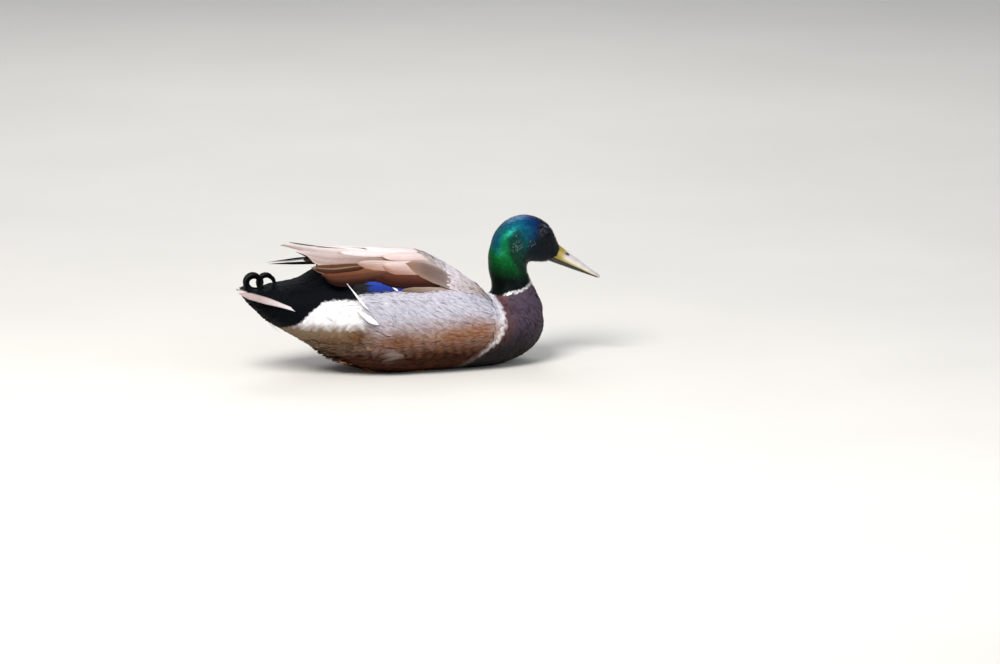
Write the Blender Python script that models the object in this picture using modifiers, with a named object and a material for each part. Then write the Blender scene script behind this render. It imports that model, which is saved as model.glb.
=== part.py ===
"""A drake mallard, life size, resting on its belly with its neck drawn in and its bill lowered.

Units are metres. +X is the way the bird faces, +Y its left side, +Z up, and the floor is z = 0.
The plumage is modelled whole, from lofts joined into one skin, and is then parted with thin cuts.
"""

import math
from collections import namedtuple

import bmesh
import bpy
from mathutils import Matrix, Vector

# ---------------------------------------------------------------- driving sizes
MM = 0.001
GAP = 0.3 * MM  # the space kept between neighbouring solids
FLOOR = 0.0
HEAD_PITCH = math.radians(26)  # the bill points this far below level
HEAD_AT = Vector((148.5, 0, 139.5)) * MM  # the middle of the head's own frame
EYE_AT = Vector((3.0, 12.4, 1.2)) * MM  # in that frame: forward, out and up
EYE_RADIUS = 5.2 * MM
BILL_LENGTH = 58 * MM  # from the feathers of the forehead to the tip
PLUMAGE_SHARE = 0.026  # of the voxel skin's faces, kept where the form needs them
TAIL_PITCH = math.radians(25)
SIDES = {"right": -1, "left": 1}


# The trunk's outline: keel and back heights, the height of its widest point, and its half width.
# The stations below are in millimetres.
Station = namedtuple("Station", "x keel back wide half")
TRUNK = [
    Station(-172, 83, 89.5, 86.5, 15),
    Station(-165, 76, 89.5, 84.5, 21),
    Station(-155, 66, 90.5, 81, 27),
    Station(-143, 54, 94.5, 78, 33),
    Station(-128, 44, 96, 74, 39),
    Station(-112, 35, 98, 70, 45),
    Station(-86, 20, 110.5, 66, 55),
    Station(-58, 6, 118, 58, 63),
    Station(-25, -2, 122, 52, 68),
    Station(10, -3, 120.5, 48, 69),
    Station(42, -3, 107.5, 46, 67),
    Station(75, -3, 85.5, 43, 62),
    Station(98, 0, 65, 40, 56),
    Station(118, 8, 58, 38, 41),
]
# The neck, as level rings: height, centre, half depth fore and aft, half width.
Ring = namedtuple("Ring", "z x deep half")
NECK = [
    Ring(40, 108, 33, 36),
    Ring(55, 118, 32, 34),
    Ring(66, 121, 25.5, 28),
    Ring(77, 120, 21.8, 23.5),
    Ring(88, 116.5, 20, 21),
    Ring(98, 114, 20, 20.5),
    Ring(110, 115, 21.5, 20.5),
    Ring(122, 120, 24, 19.5),
    Ring(134, 126, 23.5, 17),
    Ring(141, 130, 18, 12),
]
# The head, in its own frame: how far forward, chin and crown heights, cheek height, half width.
HEAD = [
    Station(-40, -36, -21, -28, 9),
    Station(-36, -40, -8.5, -24, 15),
    Station(-28, -40, 1.5, -20, 19.5),
    Station(-18, -40, 7.6, -16, 21.5),
    Station(-6, -38, 10, -14, 21.3),
    Station(5, -35.5, 9, -14.5, 19.3),
    Station(14, -33, 3, -16, 16.4),
    Station(22, -28.5, -4.2, -18, 13),
    Station(28, -26, -8, -19, 10.4),
    Station(32, -24.5, -11, -19.5, 8),
]


def curve_through(pairs):
    """A smooth function through (position, value) pairs, with no overshoot between them."""
    at = [p for p, _ in pairs]
    value = [v for _, v in pairs]
    last = len(at) - 1
    rise = [(value[i + 1] - value[i]) / (at[i + 1] - at[i]) for i in range(last)]
    slope = [rise[0]]
    for before, after in zip(rise, rise[1:]):
        slope.append(0.0 if before * after <= 0 else 2 * before * after / (before + after))
    slope.append(rise[-1])

    def read(p):
        i = max(0, min(last - 1, sum(p > a for a in at[1:-1])))
        span = at[i + 1] - at[i]
        t = max(0.0, min(1.0, (p - at[i]) / span))
        start = (2 * t**3 - 3 * t**2 + 1) * value[i] + (t**3 - 2 * t**2 + t) * span * slope[i]
        end = (3 * t**2 - 2 * t**3) * value[i + 1] + (t**3 - t**2) * span * slope[i + 1]
        return start + end

    return read


def columns(stations, *names):
    """One smooth function of position for each named column of a list of stations."""
    return [curve_through([(s[0], getattr(s, name)) for s in stations]) for name in names]


def spread(start, end, count):
    return [start + (end - start) * i / (count - 1) for i in range(count)]


def power(value, exponent):
    return math.copysign(abs(value) ** exponent, value)


# ---------------------------------------------------------------- Blender helpers
def clear_scene():
    for found in list(bpy.data.objects):
        bpy.data.objects.remove(found)


def new_collection(name):
    made = bpy.data.collections.new(name)
    bpy.context.scene.collection.children.link(made)
    return made


def new_object(name, mesh, home):
    made = bpy.data.objects.new(name, mesh)
    home.objects.link(made)
    return made


def loft(name, rings, home):
    """A closed mesh through rings that have the same number of points, with flat ends."""
    bm = bmesh.new()
    rows = [[bm.verts.new(p) for p in ring] for ring in rings]
    for row, following in zip(rows, rows[1:]):
        for i in range(len(row)):
            j = (i + 1) % len(row)
            bm.faces.new((row[i], row[j], following[j], following[i]))
    bm.faces.new(rows[0])
    bm.faces.new(rows[-1])
    bmesh.ops.recalc_face_normals(bm, faces=bm.faces)
    mesh = bpy.data.meshes.new(name)
    bm.to_mesh(mesh)
    bm.free()
    return new_object(name, mesh, home)


def ellipsoid(name, centre, radii, home, segments=32, rings=20):
    bm = bmesh.new()
    bmesh.ops.create_uvsphere(bm, u_segments=segments, v_segments=rings, radius=1)
    bmesh.ops.scale(bm, vec=radii, verts=bm.verts)
    bmesh.ops.translate(bm, vec=centre, verts=bm.verts)
    mesh = bpy.data.meshes.new(name)
    bm.to_mesh(mesh)
    bm.free()
    return new_object(name, mesh, home)


def dish(name, centre, tilt, radius, rise, home):
    """A saucer as thin as the gap, whose front leans down by tilt and whose rim rises by rise."""
    frame = Matrix.Translation(centre) @ Matrix.Rotation(tilt, 4, "Y")
    shares = [0.05, 0.4, 0.62, 0.8, 1.0]
    rings = []
    for face, order in ((GAP / 2, shares), (-GAP / 2, shares[::-1])):
        for share in order:
            turns = [2 * math.pi * i / 24 for i in range(24)]
            height = rise * share**3 + face
            ring = [(radius * share * math.cos(a), radius * share * math.sin(a)) for a in turns]
            rings.append([frame @ Vector((x, y, height)) for x, y in ring])
    return loft(name, rings, home)


def settle(obj):
    """Gives the object its evaluated mesh and drops its modifiers."""
    graph = bpy.context.evaluated_depsgraph_get()
    graph.update()
    made = bpy.data.meshes.new_from_object(obj.evaluated_get(graph), depsgraph=graph)
    obj.modifiers.clear()
    obj.data = made
    return obj


def joined(name, objects, home):
    """One mesh object that holds several closed shells."""
    bm = bmesh.new()
    for obj in objects:
        bm.from_mesh(obj.data)
        bpy.data.objects.remove(obj)
    mesh = bpy.data.meshes.new(name)
    bm.to_mesh(mesh)
    bm.free()
    return new_object(name, mesh, home)


def cut(obj, cutter):
    modifier = obj.modifiers.new("cut", "BOOLEAN")
    modifier.operation = "DIFFERENCE"
    modifier.solver = "EXACT"
    modifier.object = cutter
    return settle(obj)


def grown(obj, amount, home):
    """A helper copy of a solid whose faces stand out by amount."""
    copy = new_object(obj.name + "_grown", obj.data.copy(), home)
    modifier = copy.modifiers.new("grow", "DISPLACE")
    modifier.mid_level = 0
    modifier.strength = amount
    return hide(settle(copy))


def hide(helper):
    helper.hide_render = True
    helper.display_type = "WIRE"
    return helper


def shells_of(bm):
    """The separate bodies of a mesh, each as the set of its vertices."""
    left = set(bm.verts)
    shells = []
    while left:
        shell_verts, reached = set(), [left.pop()]
        while reached:
            vert = reached.pop()
            shell_verts.add(vert)
            others = {link.other_vert(vert) for link in vert.link_edges} & left
            left -= others
            reached.extend(others)
        shells.append(shell_verts)
    return shells


def only_shell(obj, home, name, choose):
    """A new object with one shell of another's mesh, the one that choose picks."""
    bm = bmesh.new()
    bm.from_mesh(obj.data)
    kept = choose(shells_of(bm))
    bmesh.ops.delete(bm, geom=[v for v in bm.verts if v not in kept], context="VERTS")
    mesh = bpy.data.meshes.new(name)
    bm.to_mesh(mesh)
    bm.free()
    return new_object(name, mesh, home)


def mean_height(shell_verts):
    return sum(v.co.z for v in shell_verts) / len(shell_verts)


def keep_largest(obj):
    """Drops the slivers that a cut can leave beside the main body."""
    bm = bmesh.new()
    bm.from_mesh(obj.data)
    kept = max(shells_of(bm), key=len)
    bmesh.ops.delete(bm, geom=[v for v in bm.verts if v not in kept], context="VERTS")
    bm.to_mesh(obj.data)
    bm.free()
    return obj


def paint(obj, name, colour, roughness, metallic=0.0):
    material = bpy.data.materials.get(name) or bpy.data.materials.new(name)
    material.use_nodes = True
    shader = material.node_tree.nodes["Principled BSDF"]
    shader.inputs["Base Color"].default_value = (*colour, 1)
    shader.inputs["Roughness"].default_value = roughness
    shader.inputs["Metallic"].default_value = metallic
    obj.data.materials.clear()
    obj.data.materials.append(material)
    obj.data.shade_smooth()
    obj.data.set_sharp_from_angle(angle=math.radians(40))


def stand_at_origin(home):
    """Slides the whole bird along X, so that its origin is under the middle of its bounds."""
    solids = [obj for obj in home.objects if obj.type == "MESH"]
    reach = [v.co.x for obj in solids for v in obj.data.vertices]
    middle = (min(reach) + max(reach)) / 2
    for obj in solids:
        obj.data.transform(Matrix.Translation((-middle, 0, 0)))


# ---------------------------------------------------------------- the plumage, modelled whole
def oval(half, wide, top, bottom, points, fullness):
    """A closed section in the YZ plane: (y, z) pairs of an egg that is widest at wide."""
    ring = []
    for i in range(points):
        turn = 2 * math.pi * i / points
        reach = top - wide if math.sin(turn) > 0 else wide - bottom
        y = half * power(math.cos(turn), 2 / fullness)
        z = wide + reach * power(math.sin(turn), 2 / fullness)
        ring.append((y, z))
    return ring


def trunk_loft(home):
    keel, back, wide, half = columns(TRUNK, "keel", "back", "wide", "half")
    rings = []
    for x in spread(TRUNK[0].x, TRUNK[-1].x, 60):
        section = oval(half(x), wide(x), back(x), keel(x), points=48, fullness=2.3)
        rings.append([Vector((x, y, z)) * MM for y, z in section])
    return loft("trunk_loft", rings, home)


def neck_loft(home):
    x, deep, half = columns(NECK, "x", "deep", "half")
    rings = []
    for z in spread(NECK[0].z, NECK[-1].z, 30):
        turns = [2 * math.pi * i / 40 for i in range(40)]
        ring = [(x(z) + deep(z) * math.cos(t), half(z) * math.sin(t), z) for t in turns]
        rings.append([Vector(p) * MM for p in ring])
    return loft("neck_loft", rings, home)


def head_frame():
    """From the head's frame, with its middle at the origin and the bill level, to the bird's."""
    return Matrix.Translation(HEAD_AT) @ Matrix.Rotation(HEAD_PITCH, 4, "Y")


def head_loft(home):
    chin, crown, cheek, half = columns(HEAD, "keel", "back", "wide", "half")
    rings = []
    for x in spread(HEAD[0].x, HEAD[-1].x, 36):
        section = oval(half(x), cheek(x), crown(x), chin(x), points=40, fullness=2.15)
        rings.append([head_frame() @ (Vector((x, y, z)) * MM) for y, z in section])
    return loft("head_loft", rings, home)


def plumage(home):
    """Trunk, breast, neck and head as one smooth closed skin."""
    middle = 43 * MM
    breast = ellipsoid("breast", Vector((93 * MM, 0, middle)), Vector((57.5, 54, 43)) * MM, home)
    for vert in breast.data.vertices:
        if vert.co.z > middle:  # flatter above, where the neck springs from it
            vert.co.z = middle + (vert.co.z - middle) * 0.64
        else:  # and falling back below
            vert.co.x -= min((middle - vert.co.z) / 18, 1) * 3.5 * MM
    parts = [trunk_loft(home), breast, neck_loft(home), head_loft(home)]
    body = joined("plumage", parts, home)
    remesh = body.modifiers.new("one skin", "REMESH")
    remesh.mode = "VOXEL"
    remesh.voxel_size = 2.2 * MM
    soften = body.modifiers.new("soften", "SMOOTH")
    soften.factor = 0.5
    soften.iterations = 14
    thin_out = body.modifiers.new("thin out", "DECIMATE")
    thin_out.ratio = PLUMAGE_SHARE
    return settle(body)


def part_plumage(body, home, helpers):
    """Cuts the skin level at the floor, then at the collar and the throat."""
    under = loft(
        "under_floor",
        [
            [Vector((x, y, z)) for x, y in ((-0.3, -0.2), (0.3, -0.2), (0.3, 0.2), (-0.3, 0.2))]
            for z in (FLOOR, FLOOR - 40 * MM)
        ],
        helpers,
    )
    collar = dish(
        "collar_cut", Vector((119, 0, 72)) * MM, math.radians(-14), 27 * MM, 22 * MM, helpers
    )
    throat = dish(
        "throat_cut", Vector((113, 0, 102)) * MM, math.radians(14), 32 * MM, 0, helpers
    )
    for cutter in (under, collar, throat):
        cut(body, hide(cutter))
    parts = [
        only_shell(body, home, name, lambda shells, i=i: sorted(shells, key=mean_height)[i])
        for i, name in enumerate(("trunk", "neck", "head"))
    ]
    bpy.data.objects.remove(body)
    return parts


# ---------------------------------------------------------------- folded wings
# The surface on which the folded wing's feathers lie: an arch that hugs the back as far as the
# rump, and then leaves it and rises. Its height is that of the arch's springing.
Arch = namedtuple("Arch", "x springing top half")
WING_ARCH = [
    Arch(-150, 135, 142, 10),
    Arch(-140, 126.5, 140, 25),
    Arch(-116, 103, 136, 42),
    Arch(-91, 80, 131.7, 56),
    Arch(-60, 60, 128, 66),
    Arch(-25, 52, 125, 70.5),
    Arch(10, 48, 123, 71.5),
    Arch(42, 46, 110, 68.5),
    Arch(75, 43, 88, 61.5),
    Arch(92, 42, 72, 55),
]


def wing_point(x, height_share, side, depth=0.0):
    """A point on the wing's arch at x; height_share runs from 0, at its springing, to 1, on the
    mid line of the back. depth is how far inside the arch it lies."""
    springing, top, half = columns(WING_ARCH, "springing", "top", "half")
    turn = height_share * math.pi / 2
    reach = top(x) - springing(x)
    y = (half(x) - depth) * power(math.cos(turn), 2 / 2.3)
    z = springing(x) + (reach - depth) * power(math.sin(turn), 2 / 2.3)
    return Vector((x, side * max(y, 0.5), z)) * MM


def shell(name, front, rear, low, high, outer, inner, side, home, length=11, across=6):
    """A patch of the wing: from x = front to rear, between the height shares low(t) and high(t),
    and between two depths under the arch, where t runs from 0 at the front to 1 at the rear."""
    rings = []
    for t in spread(0.0, 1.0, length):
        x = front + (rear - front) * t
        shares = spread(low(t), high(t), across)
        upper = [wing_point(x, s, side, outer) for s in shares]
        under = [wing_point(x, s, side, inner) for s in reversed(shares)]
        rings.append(upper + under)
    return loft(name, rings, home)


WING_LOW = curve_through([(0, 0.56), (0.1, 0.48), (0.4, 0.43), (0.8, 0.38), (1, 0.35)])
WING_HIGH = curve_through([(0, 0.7), (0.12, 0.88), (0.35, 0.995), (1, 0.995)])
TERTIAL_LOW = curve_through(
    [(0, 0.35), (0.33, 0.31), (0.6, 0.22), (0.77, 0.19), (0.87, 0.24), (0.94, 0.55), (1, 0.8)]
)
TERTIAL_HIGH = curve_through([(0, 0.995), (0.8, 0.995), (1, 0.95)])
SECONDARY_LOW = curve_through([(0, 0.3), (0.4, 0.17), (0.7, 0.09), (0.85, 0.18), (1, 0.32)])
SECONDARY_HIGH = curve_through([(0, 0.5), (1, 0.5)])


def wing(side_name, home, helpers):
    """The covered forewing, the raised tertials behind it and the speculum's edge below it.
    Returns the solids, and the helpers that clear their room in the trunk."""
    side = SIDES[side_name]
    patches = [
        ("wing", 88, -39.4, WING_LOW, WING_HIGH, 0.0, 2.9),
        ("tertials", -40, -140, TERTIAL_LOW, TERTIAL_HIGH, 0.0, 2.6),
        ("secondaries", -22, -78, SECONDARY_LOW, SECONDARY_HIGH, 3.6, 5.7),
    ]
    solids, rooms = [], []
    for name, front, rear, low, high, outer, inner in patches:
        solids.append(
            shell(f"{name}_{side_name}", front, rear, low, high, outer, inner, side, home)
        )
        room = shell(
            f"{name}_{side_name}_room",
            front + 0.3,
            rear - 0.3,
            lambda t, low=low: low(t) - 0.006,
            lambda t, high=high: high(t) + 0.006,
            -14.0,
            inner + 0.35,
            side,
            helpers,
        )
        rooms.append(hide(room))
    paint(solids[0], "mantle_grey", (0.36, 0.31, 0.29), 0.7)
    paint(solids[1], "tertial_brown", (0.42, 0.33, 0.28), 0.65)
    paint(solids[2], "speculum_blue", (0.02, 0.08, 0.45), 0.4)
    return solids, rooms


def blade(name, start, end, widths, thickness, lean, home, bow=0.0, steps=9):
    """A long flat quill from start to end. widths gives its half width along it, lean turns it
    about its own length, and bow lifts its middle."""
    along = (end - start).normalized()
    across = Vector((0, 1, 0)).cross(along).cross(along).normalized()
    across = Matrix.Rotation(lean, 3, along) @ across
    normal = along.cross(across).normalized()
    half_width = curve_through(widths)
    rings = []
    for t in spread(0.0, 1.0, steps):
        centre = start.lerp(end, t) + Vector((0, 0, bow * 4 * t * (1 - t)))
        half = half_width(t)
        thick = thickness * (1 - 0.45 * t) / 2
        corners = [(-1, 0), (-0.55, 1), (0.55, 1), (1, 0), (0.55, -1), (-0.55, -1)]
        rings.append([centre + across * half * a + normal * thick * b for a, b in corners])
    return loft(name, rings, home)


def primaries(side_name, home):
    """The bundle of flight quills, which slides under the tertials and ends behind them."""
    side = SIDES[side_name]
    quills = blade(
        f"primaries_{side_name}",
        Vector((-66, side * 24, 114)) * MM,
        Vector((-150, side * 4.2, 119)) * MM,
        [(0, 9 * MM), (0.5, 8 * MM), (0.85, 3.6 * MM), (1, 1.0 * MM)],
        3.0 * MM,
        side * math.radians(-28),
        home,
        bow=1.5 * MM,
    )
    paint(quills, "primary_grey", (0.12, 0.10, 0.10), 0.6)
    return quills


# ---------------------------------------------------------------- tail
TAIL_FEATHERS = 18
TAIL_ROOT = Vector((-122, 0, 68)) * MM
TAIL_LENGTH = 70 * MM
TAIL_BEND = 4 * MM  # how far the fan's end falls below a straight line
TAIL_SPREAD = math.radians(3)  # from the mid line to the outermost feather


def tail_frame():
    return Matrix.Translation(TAIL_ROOT) @ Matrix.Rotation(math.pi, 4, "Z") @ Matrix.Rotation(
        -TAIL_PITCH, 4, "Y"
    )


def tail_arch(sideways):
    """How far the fan drops towards its edges."""
    return -3 * MM * (sideways / (20 * MM)) ** 2


def tail(home):
    """The fan of tail feathers, whose rear edge steps from tip to tip."""
    columns_across = TAIL_FEATHERS * 2 - 1
    thickness = 1.6 * MM
    root_half = 13.5 * MM
    rings = []
    for t in spread(0.0, 1.0, 5):
        top, under = [], []
        for i, share in enumerate(spread(-1.0, 1.0, columns_across)):
            notch = 3.0 * MM if i % 2 else 0.0
            reach = TAIL_LENGTH * (1 - 0.07 * share**2) - notch * t**4
            turn = share * TAIL_SPREAD
            sideways = share * root_half + t * reach * math.sin(turn)
            forward = t * reach * math.cos(turn)
            lift = tail_arch(sideways) - TAIL_BEND * t**2
            taper = 1 - 0.5 * t
            top.append(Vector((forward, sideways, lift + thickness * taper / 2)))
            under.append(Vector((forward, sideways, lift - thickness * taper / 2)))
        ring = top + under[::-1]
        rings.append([tail_frame() @ p for p in ring])
    fan = loft("tail", rings, home)
    paint(fan, "tail_buff", (0.55, 0.48, 0.43), 0.7)
    return fan


# The curled central coverts of a drake: where each curl stands, its radius, how far round it
# turns, the length of its straight root, its half width and its side.
Curl = namedtuple("Curl", "x z radius turn root half_width side")
CURLS = [
    Curl(-166.5, 97.8, 8.4, 230, 10, 4.4, -1),
    Curl(-165.0, 98.0, 8.2, 220, 10, 4.2, 1),
    Curl(-150.5, 98.0, 8.6, 265, 14, 3.6, -1),
    Curl(-149.0, 98.2, 8.2, 250, 14, 3.4, 1),
]


def tail_curl(number, curl, home):
    """A ribbon that runs back along the tail coverts and then rolls up and forward."""
    centre = Vector((curl.x, curl.side * (curl.half_width + 0.35), curl.z))
    path = []
    for t in spread(0.0, 1.0, 4)[:-1]:
        start = Vector((curl.x + curl.root * (1 - t), centre.y, curl.z - curl.radius))
        path.append((start, 180.0))
    for t in spread(0.0, 1.0, 13):
        turn = curl.turn * t
        radius = curl.radius * (1 - 0.12 * t)
        angle = math.radians(-90 - turn)
        offset = Vector((math.cos(angle) * radius, 0, math.sin(angle) * radius))
        path.append((centre + offset, 180.0 - turn))
    rings = []
    for i, (point, heading) in enumerate(path):
        t = i / (len(path) - 1)
        half = curl.half_width * min(1.0, 0.55 + 1.6 * t) * max(0.12, 1 - t**3)
        outward = Vector((math.sin(math.radians(heading)), 0, -math.cos(math.radians(heading))))
        corners = [(-1, -1), (-0.5, 1), (0.5, 1), (1, -1)]
        thick = 0.7
        ring = [point + Vector((0, a * half, 0)) + outward * b * thick for a, b in corners]
        rings.append([p * MM for p in ring])
    ribbon = loft(f"tail_curl_{number}", rings, home)
    paint(ribbon, "curl_black", (0.01, 0.012, 0.014), 0.45)
    return ribbon


# ---------------------------------------------------------------- bill
BILL_ROOT = 14.0  # forward of the head's middle, inside it
BILL_TIP = 29.0 + BILL_LENGTH / MM
TOMIUM = -21.6  # the height of the bill's cutting edge in the head's frame
BILL_HALF = curve_through(
    [(14, 10.4), (30, 10.2), (46, 9.4), (58, 9.8), (70, 11.0), (77, 11.0), (83, 8.6), (87, 1.6)]
)
CULMEN = curve_through([(14, 17), (29, 14.2), (45, 10.3), (56, 8.2), (68, 5.6), (79, 3.6), (87, 1.2)])
JAW = curve_through([(14, 7.2), (30, 6.6), (55, 5.6), (72, 3.2), (87, 0.8)])


def bill_section(x, half, rise, fullness, points):
    """Half of an oval, over a flat cutting edge."""
    turns = spread(0.0, math.pi, points)
    ring = []
    for turn in turns:
        y = half * power(math.cos(turn), 2 / fullness)
        z = TOMIUM + rise * power(math.sin(turn), 2 / fullness)
        ring.append(head_frame() @ (Vector((x, y, z)) * MM))
    return ring


def bill(head, home, helpers):
    """The two mandibles, which start inside the face and are trimmed to it."""
    stops = spread(BILL_ROOT, 76, 10) + [79, 81.5, 83.5, 85, 86.2, BILL_TIP]
    upper = loft(
        "bill_upper",
        [bill_section(x, BILL_HALF(x), CULMEN(x), 1.9, 12) for x in stops],
        home,
    )
    lower = loft(
        "bill_lower",
        [bill_section(x, BILL_HALF(x) * 0.9, -JAW(x), 2.4, 8) for x in stops[:-2]],
        home,
    )
    lower.data.transform(Matrix.Translation(head_frame().to_3x3() @ Vector((0, 0, -GAP))))
    face = grown(head, GAP, helpers)
    for mandible in (upper, lower):
        cut(mandible, face)
        keep_largest(mandible)
    paint(upper, "bill_yellow", (0.72, 0.62, 0.22), 0.35)
    paint(lower, "bill_dusky", (0.30, 0.24, 0.10), 0.45)
    return upper, lower


def eye(side_name, home):
    side = SIDES[side_name]
    centre = head_frame() @ Vector((EYE_AT.x, side * EYE_AT.y, EYE_AT.z))
    ball = ellipsoid(f"eye_{side_name}", centre, Vector((EYE_RADIUS,) * 3), home, 14, 8)
    paint(ball, "eye_dark", (0.03, 0.015, 0.008), 0.1)
    return ball


# ---------------------------------------------------------------- legs and feet
FOOT_SIDE = 21.0  # from the keel to the middle toe
TOE_LENGTHS = {"inner": 42, "middle": 52, "outer": 48}
TOE_TURNS = {"inner": -13, "middle": 0, "outer": 12}


def foot(side_name, home):
    """A half-closed webbed foot, flat on the floor beside the keel, toes forward."""
    side = SIDES[side_name]
    heel = Vector((-30, side * FOOT_SIDE, 0))
    web = 2.0
    outline = [(-6, -3.5), (-6, 3.5)]
    for name in ("outer", "middle", "inner"):
        turn = math.radians(TOE_TURNS[name])
        length = TOE_LENGTHS[name]
        for reach, aside in ((0.93, 2.6), (1.0, 0.0), (0.93, -2.6)):
            x = length * reach * math.cos(turn) - aside * math.sin(turn)
            y = length * reach * math.sin(turn) + aside * math.cos(turn)
            outline.append((x, y))
    rings = []
    for height, inset in ((0.0, 0.9), (web * 0.5, 1.0), (web, 0.86)):
        ring = [heel + Vector((x * inset, side * y * inset, height)) for x, y in outline]
        rings.append([p * MM for p in ring])
    sole = loft(f"foot_{side_name}", rings, home)
    paint(sole, "leg_orange", (0.75, 0.20, 0.03), 0.5)
    return sole


def leg(side_name, home):
    """The tarsus, folded back along the floor from the foot into the feathers of the flank."""
    side = SIDES[side_name]
    start = Vector((-38, side * FOOT_SIDE, 3.6))
    end = Vector((-76, side * (FOOT_SIDE + 3), 17))
    rings = []
    for t in spread(0.0, 1.0, 7):
        centre = start.lerp(end, t)
        radius = 3.2 + 1.4 * (2 * t - 1) ** 2
        turns = [2 * math.pi * i / 10 for i in range(10)]
        ring = [centre + Vector((0, radius * math.cos(a), radius * math.sin(a))) for a in turns]
        rings.append([Vector((p.x, p.y, max(p.z, 0.0))) * MM for p in ring])
    tarsus = loft(f"leg_{side_name}", rings, home)
    paint(tarsus, "leg_orange", (0.75, 0.20, 0.03), 0.5)
    return tarsus


# ---------------------------------------------------------------- assembly
def main():
    clear_scene()
    home = new_collection("drake_mallard")
    helpers = new_collection("cutters")
    trunk, neck, head = part_plumage(plumage(home), home, helpers)

    set_in = [tail(home)]
    set_in += [tail_curl(n, curl, home) for n, curl in enumerate(CURLS, 1)]
    for side_name in SIDES:
        set_in += [primaries(side_name, home), foot(side_name, home), leg(side_name, home)]
        _, rooms = wing(side_name, home, helpers)
        for room in rooms:
            cut(trunk, room)
        ball = eye(side_name, home)
        cut(head, grown(ball, GAP, helpers))
    for solid in set_in:
        cut(trunk, grown(solid, GAP, helpers))
    keep_largest(trunk)
    bill(head, home, helpers)
    stand_at_origin(home)
    paint(trunk, "flank_grey", (0.50, 0.47, 0.46), 0.8)
    paint(neck, "neck_green", (0.01, 0.10, 0.05), 0.45)
    paint(head, "head_green", (0.01, 0.13, 0.08), 0.4)


main()
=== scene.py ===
import math

import bpy
import numpy as np
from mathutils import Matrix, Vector
from mathutils.bvhtree import BVHTree


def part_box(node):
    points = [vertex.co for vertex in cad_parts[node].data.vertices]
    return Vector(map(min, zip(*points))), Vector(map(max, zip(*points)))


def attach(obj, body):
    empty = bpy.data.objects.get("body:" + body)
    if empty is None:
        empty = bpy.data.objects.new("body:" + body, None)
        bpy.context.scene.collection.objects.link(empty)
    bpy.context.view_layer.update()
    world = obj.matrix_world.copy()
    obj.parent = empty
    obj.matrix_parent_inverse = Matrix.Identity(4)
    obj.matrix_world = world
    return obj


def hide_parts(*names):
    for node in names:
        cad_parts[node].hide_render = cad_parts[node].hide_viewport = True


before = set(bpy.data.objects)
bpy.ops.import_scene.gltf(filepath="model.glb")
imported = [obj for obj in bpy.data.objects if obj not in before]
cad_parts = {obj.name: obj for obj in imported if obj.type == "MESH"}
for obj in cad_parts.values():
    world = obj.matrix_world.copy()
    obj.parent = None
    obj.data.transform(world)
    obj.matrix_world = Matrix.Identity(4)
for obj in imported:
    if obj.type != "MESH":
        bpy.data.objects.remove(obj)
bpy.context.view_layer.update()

# ==== The skin ====
# One closed skin runs over the trunk, neck, head and folded wings, with no seam. It is soft
# tanned hide drawn over the body form and glued to it, and lies under the coat by the coat's
# own depth. It carries the coat's markings.
MM = 0.001
EYE_X = 151.72  # lengths along the duck are counted so that its eyes lie here, mm
START_X = sum(corner.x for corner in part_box("eye_right")) / 2 - EYE_X * MM
BODY_DEPTH, HEAD_DEPTH = 1.7, 1.0  # the coat's depth, mm
FACE_REACH = 2.4  # how far the face's plumage runs out over the bill, mm
THROAT = np.array((150.0, 85.0))  # the head's feathers lie in rings about this point
SIDES = {"right": -1.0, "left": 1.0}
HEAD_AT = np.array((148.5, 0.0, 139.5))  # the middle of the head's own frame
HEAD_PITCH = math.radians(26)  # the bill points this far below level
EYE_AT, EYE_RADIUS = np.array((1.6, 11.6, -2.4)), 5.2  # in the head's own frame, mm


def measures(points):
    """Places in the frame as lengths along, across and up the duck, mm."""
    return (np.asarray(points, dtype=float) - (START_X, 0, 0)) / MM


def places(lengths):
    """Lengths along, across and up the duck, mm, as places in the frame."""
    return np.asarray(lengths, dtype=float) * MM + (START_X, 0, 0)


def unit(vectors):
    """Vectors brought to length one."""
    return vectors / np.maximum(np.linalg.norm(vectors, axis=-1, keepdims=True), 1e-9)


def ramp(value, *pairs):
    """The level at a value, between pairs of stop and level."""
    stops, levels = zip(*pairs)
    return np.interp(value, stops, levels)


def edge(distance, width):
    """0 to 1 across a border of that width."""
    return np.clip(0.5 + distance / width, 0, 1)


def patch_at(x, z, at_x, at_z, wide, high):
    """A soft round patch seen from the side: 1 at its middle, nothing far from it."""
    return np.exp(-(((x - at_x) / wide) ** 2) - ((z - at_z) / high) ** 2)


def dye(red, green, blue):
    """A colour as the eye reads it, 0 to 255, as a shader's value."""
    level = np.array((red, green, blue)) / 255
    return np.where(level <= 0.04045, level / 12.92, ((level + 0.055) / 1.055) ** 2.4)


def cast(name, nodes, pitch, rounds):
    """One closed, eased form over several of the frame's solids."""
    points, faces = [], []
    for node in nodes:
        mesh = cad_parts[node].data
        first = len(points)
        points += [v.co.copy() for v in mesh.vertices]
        faces += [[first + i for i in face.vertices] for face in mesh.polygons]
    mesh = bpy.data.meshes.new(name)
    mesh.from_pydata(points, [], faces)
    obj = bpy.data.objects.new(name, mesh)
    bpy.context.scene.collection.objects.link(obj)
    remesh = obj.modifiers.new("cast", "REMESH")
    remesh.mode, remesh.voxel_size = "VOXEL", pitch * MM
    ease = obj.modifiers.new("ease", "SMOOTH")
    ease.factor, ease.iterations = 0.5, rounds
    graph = bpy.context.evaluated_depsgraph_get()
    result = bpy.data.meshes.new_from_object(obj.evaluated_get(graph))
    bpy.data.objects.remove(obj)
    return result


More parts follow.
